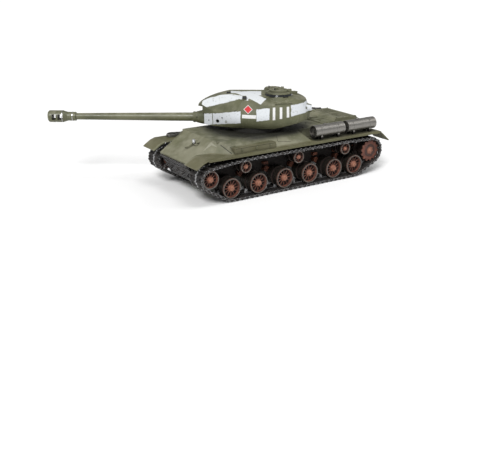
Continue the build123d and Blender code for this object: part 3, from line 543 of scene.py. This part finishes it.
def add_lathe(bm, profile, at, normal, steps=24, turn=0.0):
    """Spins (radius, height) points about normal; the first and last points close the solid."""
    frame_at = facing(normal)
    rings = []
    for radius, height in profile:
        if radius < 1e-7:
            rings.append([bm.verts.new(Vector(at) + frame_at @ Vector((0, 0, height)))])
            continue
        angles = [turn + 2 * math.pi * i / steps for i in range(steps)]
        spots = [Vector((radius * math.cos(a), radius * math.sin(a), height)) for a in angles]
        rings.append([bm.verts.new(Vector(at) + frame_at @ spot) for spot in spots])
    for low, high in zip(rings, rings[1:]):
        for i in range(steps):
            j = (i + 1) % steps
            corners = [low[i % len(low)], low[j % len(low)], high[j % len(high)], high[i % len(high)]]
            kept = list(dict.fromkeys(corners))
            if len(kept) > 2:
                bm.faces.new(kept)
    for ring in (rings[0], rings[-1]):
        if len(ring) > 2:
            bm.faces.new(ring)


def add_disc(bm, radius, at, normal):
    """Thin round plate, sunk a little into what it lies on."""
    add_lathe(bm, [(radius, -0.5 * MM), (radius, 0.15 * MM), (0, 0.15 * MM)], at, normal, 16)


def add_band(bm, radii, heights, at, normal, steps):
    """Closed ring between two radii and two heights along normal."""
    (inner, outer), (low, high) = radii, heights
    section = ((inner, low), (outer, low), (outer, high), (inner, high))
    frame_at = facing(normal)
    loops = []
    for i in range(steps):
        a = 2 * math.pi * i / steps
        loops.append([bm.verts.new(Vector(at) + frame_at @ Vector((r * math.cos(a), r * math.sin(a), h)))
                      for r, h in section])
    for here, ahead in zip(loops, loops[1:] + loops[:1]):
        for k in range(4):
            bm.faces.new((here[k], here[(k + 1) % 4], ahead[(k + 1) % 4], ahead[k]))


def add_bolt(bm, at, normal, radius, height, steps=6):
    """Bolt head with a chamfered top, sunk a little into what it stands on."""
    add_lathe(bm, [(radius, -0.3 * height), (radius, 0.65 * height), (0.78 * radius, height)],
              at, normal, steps, chance.uniform(0, math.pi / 3))


def add_block(bm, centre, size, rotation=None, bevel=0.3 * MM):
    """Box with softened edges."""
    made = bmesh.ops.create_cube(bm, size=1.0)["verts"]
    turn = (rotation or Matrix.Identity(3)).to_4x4()
    place = Matrix.Translation(Vector(centre)) @ turn @ Matrix.Diagonal((*size, 1.0))
    bmesh.ops.transform(bm, matrix=place, verts=made)
    rims = list({edge for vert in made for edge in vert.link_edges})
    bmesh.ops.bevel(bm, geom=rims, offset=min(bevel, 0.4 * min(size)), segments=2, affect="EDGES", profile=0.6)


def add_tube(bm, points, radius, sides=10, wobble=0.0):
    """Round bar along a line of points, with closed ends."""
    line = [Vector(p) for p in points]
    heading = [(b - a).normalized() for a, b in zip(line, line[1:])]
    heading = [heading[0]] + [(a + b).normalized() for a, b in zip(heading, heading[1:])] + [heading[-1]]
    across = heading[0].orthogonal().normalized()
    rings = []
    for point, ahead in zip(line, heading):
        across = (across - ahead * across.dot(ahead)).normalized()
        up = ahead.cross(across)
        size = radius * (1 + wobble * chance.uniform(-1, 1))
        rings.append([bm.verts.new(point + (across * math.cos(a) + up * math.sin(a)) * size)
                      for a in (2 * math.pi * i / sides for i in range(sides))])
    for low, high in zip(rings, rings[1:]):
        for i in range(sides):
            bm.faces.new((low[i], low[(i + 1) % sides], high[(i + 1) % sides], high[i]))
    bm.faces.new(rings[0])
    bm.faces.new(rings[-1])


def smooth_line(points, steps=8):
    """Points along a Catmull-Rom curve through the given ones."""
    knots = [Vector(p) for p in points]
    knots = [knots[0] * 2 - knots[1]] + knots + [knots[-1] * 2 - knots[-2]]
    found = []
    for a, b, c, d in zip(knots, knots[1:], knots[2:], knots[3:]):
        for i in range(steps):
            t = i / steps
            found.append(0.5 * (2 * b + (c - a) * t + (2 * a - 5 * b + 4 * c - d) * t * t
                                + (3 * b - a - 3 * c + d) * t ** 3))
    return found + [knots[-2]]


class Surface:
    """The skins of some frame nodes, to rest pieces on."""

    def __init__(self, *names):
        verts, faces = [], []
        for name in names:
            mesh = nodes[name].data
            first = len(verts)
            verts += [v.co.copy() for v in mesh.vertices]
            faces += [[first + i for i in polygon.vertices] for polygon in mesh.polygons]
        self.tree = BVHTree.FromPolygons(verts, faces)

    def hit(self, start, towards):
        """(point, outward normal) where a line first meets the skin."""
        point, normal, _, _ = self.tree.ray_cast(Vector(start), Vector(towards).normalized())
        if point is None:
            raise RuntimeError(f"nothing to rest on from {tuple(start)} towards {tuple(towards)}")
        if normal.dot(Vector(towards)) > 0:
            normal = -normal
        return point, normal


def ribbon(bm, surface, starts, towards, width, lift=0.12 * MM):
    """Flat strip laid along a skin, under points that look towards it."""
    found = [surface.hit(start, towards) for start in starts]
    for (a, normal_a), (b, normal_b) in zip(found, found[1:]):
        if (b - a).length < 1e-6:
            continue
        normal = (normal_a + normal_b).normalized()
        ahead = (b - a).normalized()
        turn = Matrix((ahead, normal.cross(ahead), normal)).transposed()
        add_block(bm, (a + b) / 2 + normal * lift * 0.2, ((b - a).length + 0.25 * width, width, 2 * lift), turn, 0)


def between(start, end, count):
    """Evenly spaced points from start to end."""
    a, b = Vector(start), Vector(end)
    return [a.lerp(b, i / (count - 1)) for i in range(count)]


# ---------------------------------------------------------------- frame nodes

# Which finish each node of the frame takes; wheels, tracks and swing arms come after.
FINISHES = {
    "tub": ("lower_hull",),
    "hull": ("upper_hull", "engine_deck", "headlight", "battery_hatch"),
    "turret": ("turret_shell",),
    "armour": ("cupola", "commander_hatch", "loader_hatch", "mantlet"),
    "barrel": ("gun_barrel", "muzzle_brake"),
    "drum": ("fuel_drums",),
    "fittings": ("axle_mounts",),
    "left_track": ("spare_track_links",),
    "steel": ("screws",),
    "can": ("drive_units",),
    "wrap": ("battery_pack",),
    "board": ("electronics",),
    "black": ("power_switch", "traverse_motor", "elevation_motor"),
    "nylon": ("traverse_pinion",),
    # The turret ring gear is painted near black: painted shade under the turret.
    "gap": ("turret_ring_gear",),
}


def wheel_facts(body):
    """(centre, radius, lowest corner, highest corner) of a wheel."""
    low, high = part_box(body)
    return Vector(joints[f"{body}_spin"]["pos_m"]), (high.z - low.z) / 2, low, high


def dress_frame(look):
    """Gives every node of the frame its finish."""
    finishes = {name: look[key] for key, names in FINISHES.items() for name in names}
    for side, sign in SIDES:
        finishes[f"{side}_track"] = look[f"{side}_track"]
        for name in (*WHEELS, *ROLLERS, "sprocket"):
            body = f"{side}_{name}"
            centre, radius, _, _ = wheel_facts(body)
            finishes[body] = wheel_paint(f"{body}_paint", centre, radius, 0.42 * radius, sign, name == "sprocket")
        for i in range(1, 7):
            finishes[f"{side}_swing_arm_{i}"] = look["fittings"]
    for name, material in finishes.items():
        node = nodes[name]
        if not node.material_slots:
            node.data.materials.append(None)
        for slot in node.material_slots:
            slot.link = "OBJECT"
            slot.material = material


# ---------------------------------------------------------------- details

BESIDE = 130 * MM              # starting points well outside the hull's sides
ABOVE = ROOF + 60 * MM         # and above its deck

# Lines over the hull's left side, and the deck's screws, in millimetres.
SLOPE_SEAM = ((-3.4, 62.6, 90), (-1.0, 67.0, 90), (1.4, 71.5, 90), (3.7, 75.9, 90))
BOW_SEAM = ((115.5, 54.0, 90), (113.0, 64.8, 90), (108.3, 76.2, 90), (104.6, 85.5, 90))
BOW_CHEEK = ((142.2, 49.2, 90), (115.4, 71.8, 90), (122.2, 50.7, 90))
DECK_SCREWS = ((-96.4, 25.6), (-128.1, 28.8), (-123.3, 6.0), (-96.4, -25.6), (-128.1, -28.8), (-123.3, -6.0),
               *((x, y) for x in (-203, -188, -173, -157) for y in (-42, 42)),
               (-112, 0), (-70, 52), (-70, -52))

# Middles of the cupola and of the loader's hatch in the turret's axes, in millimetres.
CUPOLA = (-42, 17)
LOADER = (-32, -25)


def flipped(points, sign):
    """Points given in millimetres for the left side, in metres, on the side that sign says."""
    return [Vector((x * MM, sign * y * MM, z * MM)) for x, y, z in points]


def bolt_row(bm, surface, starts, towards, radius, height, steps=6):
    """Bolt heads standing on a skin, under each of the starting points."""
    for start in starts:
        at, normal = surface.hit(start, towards)
        add_bolt(bm, at, normal, radius, height, steps)


def wheel_trim(look):
    """Hub caps with nuts, and a bare steel ring rolled on to each outer rim."""
    for side, sign in SIDES:
        out = Vector((0, sign, 0))
        for name in (*WHEELS, *ROLLERS, "sprocket"):
            body = f"{side}_{name}"
            centre, radius, low, high = wheel_facts(body)
            outer = high.y if sign > 0 else low.y
            clear = outer + sign * 20 * MM
            skin = Surface(body)
            bm = bmesh.new()
            hub = 0.24 * radius
            at, _ = skin.hit((centre.x, clear, centre.z), -out)
            add_lathe(bm, [(hub, -0.6 * MM), (hub, 0.5 * MM), (0.8 * hub, 1.0 * MM), (0, 1.1 * MM)], at, out, 20)
            for i in range(6):
                turn = math.radians(60 * i + 15)
                spot = Vector((math.cos(turn), 0, math.sin(turn))) * 0.33 * radius + Vector((centre.x, 0, centre.z))
                spot.y = clear
                at, _ = skin.hit(spot, -out)
                add_bolt(bm, at, out, 0.75 * MM, 0.9 * MM)
            piece(f"{body}_hub_nuts", bm, body, look["hub"])
            if name != "sprocket":
                bm = bmesh.new()
                add_band(bm, (radius - 1.9 * MM, radius - 0.5 * MM), (-0.5 * MM, 0.15 * MM),
                         (centre.x, outer, centre.z), out, 48)
                piece(f"{body}_rim", bm, body, look["rim"])


def side_trim(look, hull, side, sign):
    """Latches and hinges of the stowage box, seams and fender rivets on one side."""
    inward = Vector((0, -sign, 0))

    def beside(start, end, count):
        """Evenly spaced points beside the hull, from one (x, z) to another in millimetres."""
        ends = [(x * MM, sign * BESIDE, z * MM) for x, z in (start, end)]
        return between(*ends, count)

    latches = bmesh.new()
    for x in (27, 56, 86):
        at, normal = hull.hit((x * MM, sign * BESIDE, 57 * MM), inward)
        add_block(latches, at + normal * 0.4 * MM, (3.0 * MM, 4.2 * MM, 1.2 * MM), facing(normal, (1, 0, 0)))
        add_tube(latches, [at + normal * 1.4 * MM + Vector((dx, 0, 1.8 * MM)) for dx in (-1.4 * MM, 1.4 * MM)],
                 0.45 * MM)
    for x in (20, 40, 72, 94):
        wall, _ = hull.hit((x * MM, sign * BESIDE, 57 * MM), inward)
        hinge_y = wall.y - sign * 12.5 * MM
        lid, _ = hull.hit((x * MM, hinge_y, ABOVE), DOWN)
        add_tube(latches, [(x * MM + dx, hinge_y, lid.z + 0.2 * MM) for dx in (-2.5 * MM, 2.5 * MM)], 0.7 * MM)

    seams = bmesh.new()
    ribbon(seams, hull, beside((17, 60.5), (98, 60.5), 12), inward, 0.45 * MM)
    ribbon(seams, hull, flipped(SLOPE_SEAM, sign), DOWN, 0.7 * MM)
    ribbon(seams, hull, beside((3.7, 58.6), (-21.8, 55.7), 6), inward, 0.6 * MM)
    for x in (-60, -118):
        ribbon(seams, hull, beside((x, 55), (x, 66), 8), inward, 0.5 * MM)

    rivets = bmesh.new()
    bolt_row(rivets, hull, [(x * MM, sign * 93.5 * MM, ABOVE) for x in range(-205, 130, 15)], DOWN,
             0.7 * MM, 0.5 * MM, 8)
    piece(f"{side}_box_latches", latches, "hull", look["armour"])
    piece(f"{side}_side_seams", seams, "hull", look["gap"])
    piece(f"{side}_fender_rivets", rivets, "hull", look["armour"])


def bow_trim(look, hull):
    """Seams across the bow's corners, and the raised cheeks cast beside the glacis."""
    cheeks, seams = bmesh.new(), bmesh.new()
    for sign in (1, -1):
        ribbon(seams, hull, flipped(BOW_SEAM, sign), DOWN, 1.0 * MM)
        found = [hull.hit(corner, DOWN) for corner in flipped(BOW_CHEEK, sign)]
        a, b, c = [cheeks.verts.new(at - normal * 0.4 * MM) for at, normal in found]
        peak = cheeks.verts.new(found[2][0] + found[2][1] * 3.2 * MM)
        for face in ((a, b, c), (a, b, peak), (b, c, peak), (c, a, peak)):
            cheeks.faces.new(face)
    piece("bow_seams", seams, "hull", look["gap"])
    # The raised cheeks take the bow's paint, made paler as painted light.
    piece("bow_cheeks", cheeks, "hull", look["bow"], 10)


def drum_trim(look):
    """Straps and filler caps of the fuel drums."""
    low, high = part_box("fuel_drums")
    radius = 11 * MM
    axis_y, axis_z = (low.y + high.y) / 2, high.z - radius
    bm = bmesh.new()
    for x in (-86, -124.6, -161, -200):
        add_band(bm, (10.8 * MM, 11.25 * MM), (-1.2 * MM, 1.2 * MM), (x * MM, axis_y, axis_z), (1, 0, 0), 48)
        add_bolt(bm, (x * MM, axis_y + 8.2 * MM, axis_z + 8.2 * MM), (0, 1, 1), 0.9 * MM, 1.2 * MM)
    piece("drum_straps", bm, "hull", look["drum"])
    bm = bmesh.new()
    for x in (-98, -174):
        add_lathe(bm, [(2.6 * MM, -0.8 * MM), (2.6 * MM, 1.0 * MM), (2.0 * MM, 1.5 * MM), (0, 1.5 * MM)],
                  (x * MM, axis_y, axis_z + radius), (0, 0, 1), 20)
    piece("drum_caps", bm, "hull", look["drum"])


def hull_trim(look):
    """Seams, latches, screws, straps, cable, tools and lamp on the hull."""
    hull = Surface("upper_hull", "engine_deck")
    for side, sign in SIDES:
        side_trim(look, hull, side, sign)
    bm = bmesh.new()
    bolt_row(bm, hull, [(x * MM, y * MM, ABOVE) for x, y in DECK_SCREWS], DOWN, 1.2 * MM, 0.8 * MM)
    piece("deck_screws", bm, "hull", look["dark_steel"])
    bow_trim(look, hull)
    bm = bmesh.new()
    behind = -300 * MM
    bolt_row(bm, hull, [(behind, y * MM, 58 * MM) for y in range(-42, 43, 12)], (1, 0, 0), 1.0 * MM, 0.8 * MM)
    piece("rear_plate_bolts", bm, "hull", look["armour"])
    drum_trim(look)
    cable_and_tools(look)
    lamp_trim(look)


def cable_and_tools(look):
    """Coiled tow cable and tools clipped to the right fender."""
    lift = FENDER + 1.3 * MM
    cable_y, tool_y = -91 * MM, -89 * MM
    coil = []
    for turn in range(3):
        reach = 1 + 0.06 * turn
        for i in range(12):
            a = 2 * math.pi * i / 12
            coil.append((118 * MM + 17 * MM * reach * math.cos(a), -84.5 * MM + 5.6 * MM * reach * math.sin(a),
                         lift + 1.5 * MM * turn + 0.4 * MM * math.sin(3 * a)))
    coil += [(128 * MM, -90 * MM, lift + 4.4 * MM), (100 * MM, cable_y, lift + 1.5 * MM), (60 * MM, cable_y, lift),
             (20 * MM, cable_y - 0.5 * MM, lift)]
    bm = bmesh.new()
    add_tube(bm, smooth_line(coil, 5), 1.15 * MM, 8, 0.08)
    piece("tow_cable", bm, "hull", look["wire"])
    bm = bmesh.new()
    for x in (-20, -120):
        add_tube(bm, [(x * MM, tool_y, lift + 0.3 * MM), ((x - 62) * MM, tool_y, lift + 0.3 * MM)], 1.4 * MM)
    piece("tool_handles", bm, "hull", look["wood"])
    bm = bmesh.new()
    add_block(bm, (-90 * MM, tool_y, lift), (17 * MM, 9 * MM, 1.2 * MM))
    add_block(bm, (-186 * MM, tool_y, lift + 0.6 * MM), (8 * MM, 5 * MM, 3.4 * MM))
    for x in (-34, -66, -134, -166):
        add_block(bm, (x * MM, tool_y, lift + 0.3 * MM), (2.4 * MM, 4.2 * MM, 3.6 * MM))
    piece("tool_heads", bm, "hull", look["dark_steel"])


def lamp_trim(look):
    """Glass, rim and cable of the headlight."""
    ahead = (1, 0, 0)
    at = Vector((137.1, 14.0, 64.2)) * MM
    bm = bmesh.new()
    add_lathe(bm, [(2.8 * MM, -0.9 * MM), (2.8 * MM, 0.1 * MM), (1.9 * MM, 0.7 * MM), (0, 0.95 * MM)], at, ahead, 24)
    piece("headlight_glass", bm, "hull", look["glass"])
    bm = bmesh.new()
    add_band(bm, (2.9 * MM, 4.0 * MM), (-1.4 * MM, 0.3 * MM), at, ahead, 32)
    piece("headlight_rim", bm, "hull", look["steel"])
    bm = bmesh.new()
    route = ((131, 14, 64), (128.5, 14, 63.4), (127, 15.5, 62.2), (126, 18, 62.0))
    add_tube(bm, smooth_line([Vector(p) * MM for p in route], 6), 0.55 * MM, 8)
    piece("headlight_cable", bm, "hull", look["black"])


def turret_side_trim(look, shell):
    """Grab rails, lifting hooks, and plugs and sight holes round the turret."""

    def standing(x, y, z):
        """Where the shell is met at height z above the belly, coming in level towards its middle."""
        start = on_turret(x * 1.6, y * 1.6, z)
        return shell.hit(start, on_turret(0.35 * x, 0, z) - start)

    rails, hooks, holes = bmesh.new(), bmesh.new(), bmesh.new()
    for sign in (1, -1):
        feet = [standing(-32.8, sign * 51.3, 120), standing(-58.2, sign * 43.7, 121)]
        ends = [at + normal * 2.6 * MM for at, normal in feet]
        add_tube(rails, [feet[0][0], ends[0], ends[1], feet[1][0]], 0.75 * MM)
        for x, y, z in ((30.8, 49.6, 108.8), (-86, 30, 110)):
            at, normal = standing(x, sign * y, z)
            add_tube(hooks, smooth_line([at + Vector((0, 0, -1.8 * MM)), at + normal * 2.4 * MM,
                                         at + Vector((0, 0, 1.8 * MM))], 5), 0.7 * MM)
        add_disc(holes, 1.3 * MM, *standing(53.2, sign * 43.3, 94.5))
        at, normal = standing(46, sign * 46.7, 88.5)
        add_band(hooks, (1.5 * MM, 2.1 * MM), (-0.4 * MM, 0.4 * MM), at, normal, 20)
    piece("turret_rails", rails, "turret", look["armour"])
    piece("turret_hooks", hooks, "turret", look["armour"])
    add_disc(holes, 1.2 * MM, *shell.hit(on_turret(82.3, 60, 86.7), -turret_left))
    ribbon(holes, shell, between(on_turret(31, -7.2, 160), on_turret(38, -7.2, 160), 4), DOWN, 1.1 * MM, 0.2 * MM)
    # The holes and the roof slit are near-black discs and strip: painted shade.
    piece("turret_sight_holes", holes, "turret", look["gap"])


def periscope_trim(look, shell):
    """Dark glass under a lid on each of the roof's two periscopes."""
    glass, lids = bmesh.new(), bmesh.new()
    turn = facing((0, 0, 1), turret_forward)
    for x, y in ((47, 9), (18, 39)):
        at, _ = shell.hit(on_turret(x, y, 200), DOWN)
        add_block(glass, at + Vector((0, 0, 1.0 * MM)), (7.4 * MM, 5.4 * MM, 4.0 * MM), turn, 0.4 * MM)
        add_block(lids, at + Vector((0, 0, 3.1 * MM)), (6.4 * MM, 4.4 * MM, 0.7 * MM), turn, 0.2 * MM)
    piece("periscope_lids", lids, "turret", look["armour"])
    piece("periscope_glass", glass, "turret", look["vision"])


def cupola_trim(look):
    """Six vision slots round the cupola, each glass under a brow."""
    ring = Surface("cupola")
    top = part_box("cupola")[1].z
    centre = on_turret(*CUPOLA, 0)
    reach = 32 * MM
    glass, brows = bmesh.new(), bmesh.new()
    # Each strip: millimetres below the cupola's top, half its angle, width and thickness.
    strips = ((glass, 7.6, 22, 3.6, 0.2), (brows, 5.3, 25, 0.9, 0.9))
    for i in range(6):
        middle = TURRET_YAW + math.radians(60 * i + 78)
        inward = -Vector((math.cos(middle), math.sin(middle), 0))
        for strip, drop, half, width, lift in strips:
            starts = []
            for step in range(-4, 5):
                a = middle + math.radians(half * step / 4)
                starts.append(centre + Vector((math.cos(a), math.sin(a), 0)) * reach)
                starts[-1].z = top - drop * MM
            ribbon(strip, ring, starts, inward, width * MM, lift * MM)
    piece("cupola_glass", glass, "turret", look["vision"])
    piece("cupola_brows", brows, "turret", look["armour"])


def hatch_trim(look):
    """Grab bar and bolts on each hatch lid."""
    for name, (x, y) in (("commander_hatch", CUPOLA), ("loader_hatch", LOADER)):
        skin = Surface(name)
        bm = bmesh.new()
        feet = [skin.hit(on_turret(x + 7, y + dy, 180), DOWN)[0] for dy in (-5, 5)]
        rise = Vector((0, 0, 2.4 * MM))
        add_tube(bm, [feet[0], feet[0] + rise, feet[1] + rise, feet[1]], 0.7 * MM)
        spots = [math.radians(60 * i) for i in range(6)]
        bolt_row(bm, skin, [on_turret(x + 11 * math.cos(a), y + 11 * math.sin(a), 180) for a in spots], DOWN,
                 0.7 * MM, 0.6 * MM)
        piece(f"{name}_grab", bm, name, look["dark_steel"])


def turret_trim(look):
    """Rails, hooks, plugs, sights, glass and the rear gun on the turret."""
    shell = Surface("turret_shell")
    turret_side_trim(look, shell)
    periscope_trim(look, shell)
    cupola_trim(look)
    bm = bmesh.new()
    barrel = ((1.9, 0), (1.9, 7), (1.3, 7.5), (1.3, 15), (1.7, 15.4), (1.7, 18), (0.9, 18), (0.8, 14))
    add_lathe(bm, [(r * MM, h * MM) for r, h in barrel], on_turret(-100, 14, 107), -turret_forward, 20)
    piece("rear_gun", bm, "turret", look["dark_steel"])
    hatch_trim(look)


def gun_trim(look):
    """Bolts and sight holes on the gun shield, and bright rings on the muzzle brake."""
    shield = Surface("mantlet")
    bolts, holes = bmesh.new(), bmesh.new()
    starts = [on_turret(x, y, 140) for y in (-9, 9) for x in (96, 84)]
    bolt_row(bolts, shield, starts, DOWN, 0.9 * MM, 0.7 * MM)
    collar = on_turret(110, 0, 87.5)
    for i in range(6):
        a = math.radians(60 * i + 30)
        out = turret_left * math.cos(a) + Vector((0, 0, 1)) * math.sin(a)
        bolt_row(bolts, shield, [collar + out * 30 * MM], -out, 0.7 * MM, 0.6 * MM)
    piece("shield_bolts", bolts, "gun", look["armour"])
    for y in (-9.5, 9.5):
        add_disc(holes, 1.4 * MM, *shield.hit(on_turret(140, y, 88.5), -turret_forward))
    # The sight holes are near-black discs: painted shade.
    piece("shield_sight_holes", holes, "gun", look["gap"])

    muzzle = Surface("muzzle_brake")
    bm = bmesh.new()
    for x in (332, 350):
        at, _ = muzzle.hit(on_turret(x, 0, 140), DOWN)
        radius = at.z - GUN_Z
        add_band(bm, (radius - 0.3 * MM, radius + 0.35 * MM), (-0.5 * MM, 0.5 * MM),
                 on_turret(x, 0, GUN_Z / MM), turret_forward, 36)
    piece("muzzle_rings", bm, "gun", look["steel"])


def belly_trim(look):
    """Drain plugs in the belly."""
    bm = bmesh.new()
    starts = [(x * MM, y * MM, -20 * MM) for x in (-180, -150, 90, 130) for y in (-30, 30)]
    bolt_row(bm, Surface("lower_hull"), starts, (0, 0, 1), 1.5 * MM, 0.8 * MM)
    piece("belly_plugs", bm, "hull", look["dark_steel"])


# ---------------------------------------------------------------- stage

CAMERA_AT = (0.78997, 1.16683, 0.3959)
CAMERA_TOWARDS = (-0.52126, -0.78067, -0.34473)
CAMERA_LENS = 56.65
CAMERA_REACH = 120
FLOOR_HALF = 40
LIGHTS = (("sun", (0.80, 0.72, 0.95), 3.1, 22),      # name, where it shines from, strength, spread in degrees
          ("top", (-0.2, 0.3, 1.5), 0.8, 30),
          ("rim", (-0.9, 0.4, 0.7), 0.5, 30))
SKY = 0.36
HORIZON = 1.2
HAZE = (0.03, 0.10)                                  # heights between which the horizon fades to the sky


def lay_floor():
    """Plain pale paper under the tracks, reaching the horizon."""
    bm = bmesh.new()
    bmesh.ops.create_grid(bm, x_segments=2, y_segments=2, size=FLOOR_HALF)
    mesh = bpy.data.meshes.new("floor")
    bm.to_mesh(mesh)
    bm.free()
    floor = bpy.data.objects.new("floor", mesh)
    floor.location.z = GROUND
    mesh.materials.append(plain("floor_paper", (0.80, 0.80, 0.80), (0.82, 0.82, 0.82), 0.9, 0.0, 3, 0.0))
    scene.collection.objects.link(floor)


def hang_lights():
    """Three wide soft lamps, and a white world that glows most at the horizon."""
    centre = (cad_box[0] + cad_box[1]) / 2
    for name, offset, strength, spread in LIGHTS:
        data = bpy.data.lights.new(name, "SUN")
        data.energy = strength
        data.angle = math.radians(spread)
        lamp = bpy.data.objects.new(name, data)
        lamp.location = centre + Vector(offset)
        lamp.rotation_mode = "QUATERNION"
        lamp.rotation_quaternion = Vector(offset).to_track_quat("Z", "Y")
        scene.collection.objects.link(lamp)
    world = bpy.data.worlds.new("studio")
    world.use_nodes = True
    tree = world.node_tree
    height = tree.nodes.new("ShaderNodeSeparateXYZ")
    tree.links.new(tree.nodes.new("ShaderNodeTexCoord").outputs["Generated"], height.inputs[0])
    glow = tree.nodes.new("ShaderNodeMapRange")
    for key, value in (("From Min", HAZE[0]), ("From Max", HAZE[1]), ("To Min", HORIZON), ("To Max", SKY)):
        glow.inputs[key].default_value = value
    tree.links.new(height.outputs["Z"], glow.inputs["Value"])
    backdrop = tree.nodes["Background"]
    backdrop.inputs["Color"].default_value = (1.0, 1.0, 1.0, 1.0)
    tree.links.new(glow.outputs["Result"], backdrop.inputs["Strength"])
    scene.world = world
    scene.view_settings.view_transform = "Standard"


def set_camera():
    """The camera, at the viewing angle wanted."""
    data = bpy.data.cameras.new("camera")
    data.lens = CAMERA_LENS
    data.clip_start = 0.01
    data.clip_end = CAMERA_REACH
    camera = bpy.data.objects.new("camera", data)
    camera.location = CAMERA_AT
    camera.rotation_mode = "QUATERNION"
    camera.rotation_quaternion = Vector(CAMERA_TOWARDS).to_track_quat("-Z", "Y")
    scene.collection.objects.link(camera)
    scene.camera = camera


looks = make_materials()
dress_frame(looks)
wheel_trim(looks)
hull_trim(looks)
turret_trim(looks)
gun_trim(looks)
belly_trim(looks)
lay_floor()
hang_lights()
set_camera()
